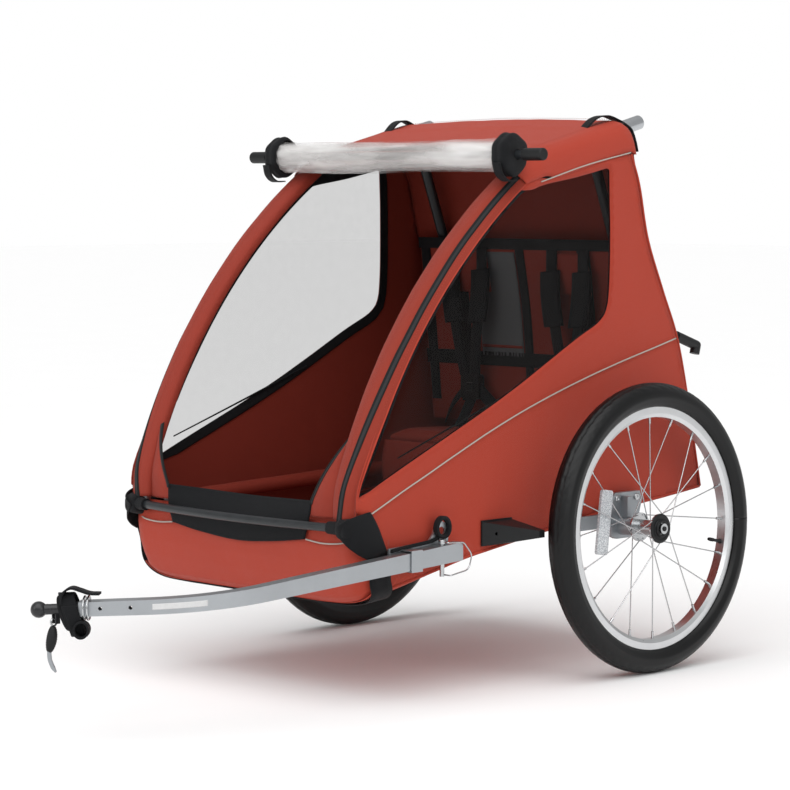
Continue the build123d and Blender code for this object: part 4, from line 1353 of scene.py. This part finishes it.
# ---- Wheels ----
def wheel_place(side):
    """What puts a wheel's own points, round the X axis, in their place in the frame."""
    low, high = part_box(f"tyre_{SIDES[side]}")
    return Matrix.Translation((low + high) / 2) @ Matrix.Rotation(radians(-1.45) * side, 4, "Y")


def wheel_point(place, x, radius, angle):
    """Point of a wheel in millimetres: x out along its axle, and a radius at an angle round it."""
    return place @ Vector((x / 1000, radius * cos(angle) / 1000, radius * sin(angle) / 1000))


def tread_cut(turn, degrees_out):
    """Depth cut into the tyre's round section: sipes and two ribs on the crown, rings on the sidewall."""
    if degrees_out < 52:
        phase = (turn * 60 + degrees_out / 26) % 1
        sipe = max(0.0, 1 - abs(phase - 0.5) * 7) * (degrees_out > 8)
        return 1.5 * max(sipe, 1 - abs(degrees_out - 19) / 4.5, 0.0)
    if degrees_out < 60:
        return 0.35
    return -0.5 if 96 < degrees_out < 100 or 120 < degrees_out < 124 else 0.0


def tyre(side):
    """Tyre with a fine slick tread: ribs round the crown, angled sipes and a ringed sidewall."""
    place = wheel_place(side)
    rows = []
    for turn in spread(0, 1, 421):
        row = []
        for b in spread(-142, 142, 45):
            r = 22.9 - tread_cut(turn, abs(b))
            row.append(wheel_point(place, r * sin(radians(b)), 227 + r * cos(radians(b)), 2 * pi * turn))
        rows.append(row)
    piece = thicken(grid(f"tyre_tread_{SIDES[side]}", rows, "rubber"), 2.6, 1.0)
    riding(f"wheel_{SIDES[side]}", piece, slot="tyre_rubber")
    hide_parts(f"tyre_{SIDES[side]}")


def valve(side):
    """Valve stem with its nut and cap, pointing at the axle."""
    place = wheel_place(side)

    def size(t):
        if t < 0.16:
            return 4.2
        if t < 0.62:
            return 2.6 + 0.15 * (round(t * 60) % 2)
        return 3.3 - 0.7 * max(0, t - 0.9) / 0.1

    line = [wheel_point(place, 0, r, radians(-12)) for r in spread(193, 158, 36)]
    stem = tube(f"valve_{SIDES[side]}", line, size, "grip", sides=16)
    riding(f"wheel_{SIDES[side]}", stem, slot="black_plastic")


def hub_cup(side):
    """Dark dished flange cover on the hub's outer side, round the release pin."""
    place = wheel_place(side)
    profile = smooth_line([(20.8, 25.6), (22.6, 24.8), (23.4, 21), (22.2, 17.5), (23.2, 15.4), (26.4, 14.6),
                           (27.2, 12.6), (26.2, 10.2)], 36)
    rows = [[wheel_point(place, side * x, radius, a) for a in angles(48)] for x, radius in profile]
    cup = grid(f"hub_cup_{SIDES[side]}", rows, "plastic", closed=True)
    riding(f"wheel_{SIDES[side]}", cup, slot="black_plastic")


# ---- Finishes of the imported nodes; a name that ends with _ stands for its left and right nodes ----
NODE_LOOKS = {
    "tube": "cage_tube_ axle_tube side_rail_ rear_cross_tube",
    "dark_tube": "bumper_tube cover_rod cage_cross_tubes lower_strut_ upper_strut_",
    "arm": "tow_arm arm_receiver",
    "cast": "axle_bracket_",
    "rim": "rim_",
    "bright": "hub_ spokes_ axle_pin_ frame_bolts lock_pin lock_bail hitch_clip",
    "lens": "reflector_",
    "coupling": "hitch_ball",
    "plastic": "corner_block_ wheel_guard_ buckles buckle_button_ cover_rod_caps strut_hangers fold_lever_ "
               "release_button_",
}


def dress_nodes():
    """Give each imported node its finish."""
    for finish, names in NODE_LOOKS.items():
        for name in names.split():
            for node in [name + side for side in SIDES.values()] if name.endswith("_") else [name]:
                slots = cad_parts[node].material_slots
                for slot in slots:
                    slot.material = FINISH[finish]
                if not slots:
                    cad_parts[node].data.materials.append(FINISH[finish])


# ---- Stage ----
def lamp(name, kind, power, way, spot=(0, 0, 0), **settings):
    light = bpy.data.lights.new(name, kind)
    light.energy = power
    for setting, value in settings.items():
        setattr(light, setting, value)
    thing = link(name, light)
    thing.location = spot
    aim(thing, Vector(way))


def stage():
    """Pale floor, a bright surround that lights less than it shows, and three soft lamps."""
    reach = 30.0
    mesh = bpy.data.meshes.new("floor")
    corners = [(x * reach, y * reach, 0) for x, y in ((-1, -1), (1, -1), (1, 1), (-1, 1))]
    mesh.from_pydata(corners, [], [(0, 1, 2, 3)])
    mesh.materials.append(floor_finish())
    link("floor", mesh)
    bpy.context.scene.view_settings.view_transform = "Standard"
    world = bpy.data.worlds.new("studio")
    world.use_nodes = True
    nodes, links = world.node_tree.nodes, world.node_tree.links
    background = nodes["Background"]
    background.inputs[0].default_value = (1, 1, 1, 1)
    seen = nodes.new("ShaderNodeLightPath")
    strength = nodes.new("ShaderNodeMapRange")
    strength.inputs[3].default_value = 0.5
    strength.inputs[4].default_value = 1.0
    links.new(seen.outputs["Is Camera Ray"], strength.inputs[0])
    links.new(strength.outputs[0], background.inputs[1])
    bpy.context.scene.world = world
    lamp("overhead", "SUN", 2.1, (-0.25, 0.42, -1), angle=radians(70))
    lamp("side", "AREA", 34, (-4.0, 0.6, -1.7), (4.2, -0.6, 2.2), size=2.4)
    lamp("front", "AREA", 26, (1.2, 3.8, -1.4), (-1.2, -4.2, 1.8), size=1.8)


place_camera()
stage()
dress_nodes()
for direction in SIDES:
    side_fabric(direction)
    sleeve(direction)
    gusset(direction)
    tyre(direction)
    valve(direction)
    hub_cup(direction)
window_cord()
roof()
rear_cover()
nose()
belly()
rail_sleeves()
tub_rear()
kick_panel()
footwell_webbing()
for direction in SIDES:
    corner_cover(direction)
receiver_eye()
seats()
seat_sling()
harness()
cover_roll()
collars()
coupling_webbing()
coupling_grip()
arm_label()
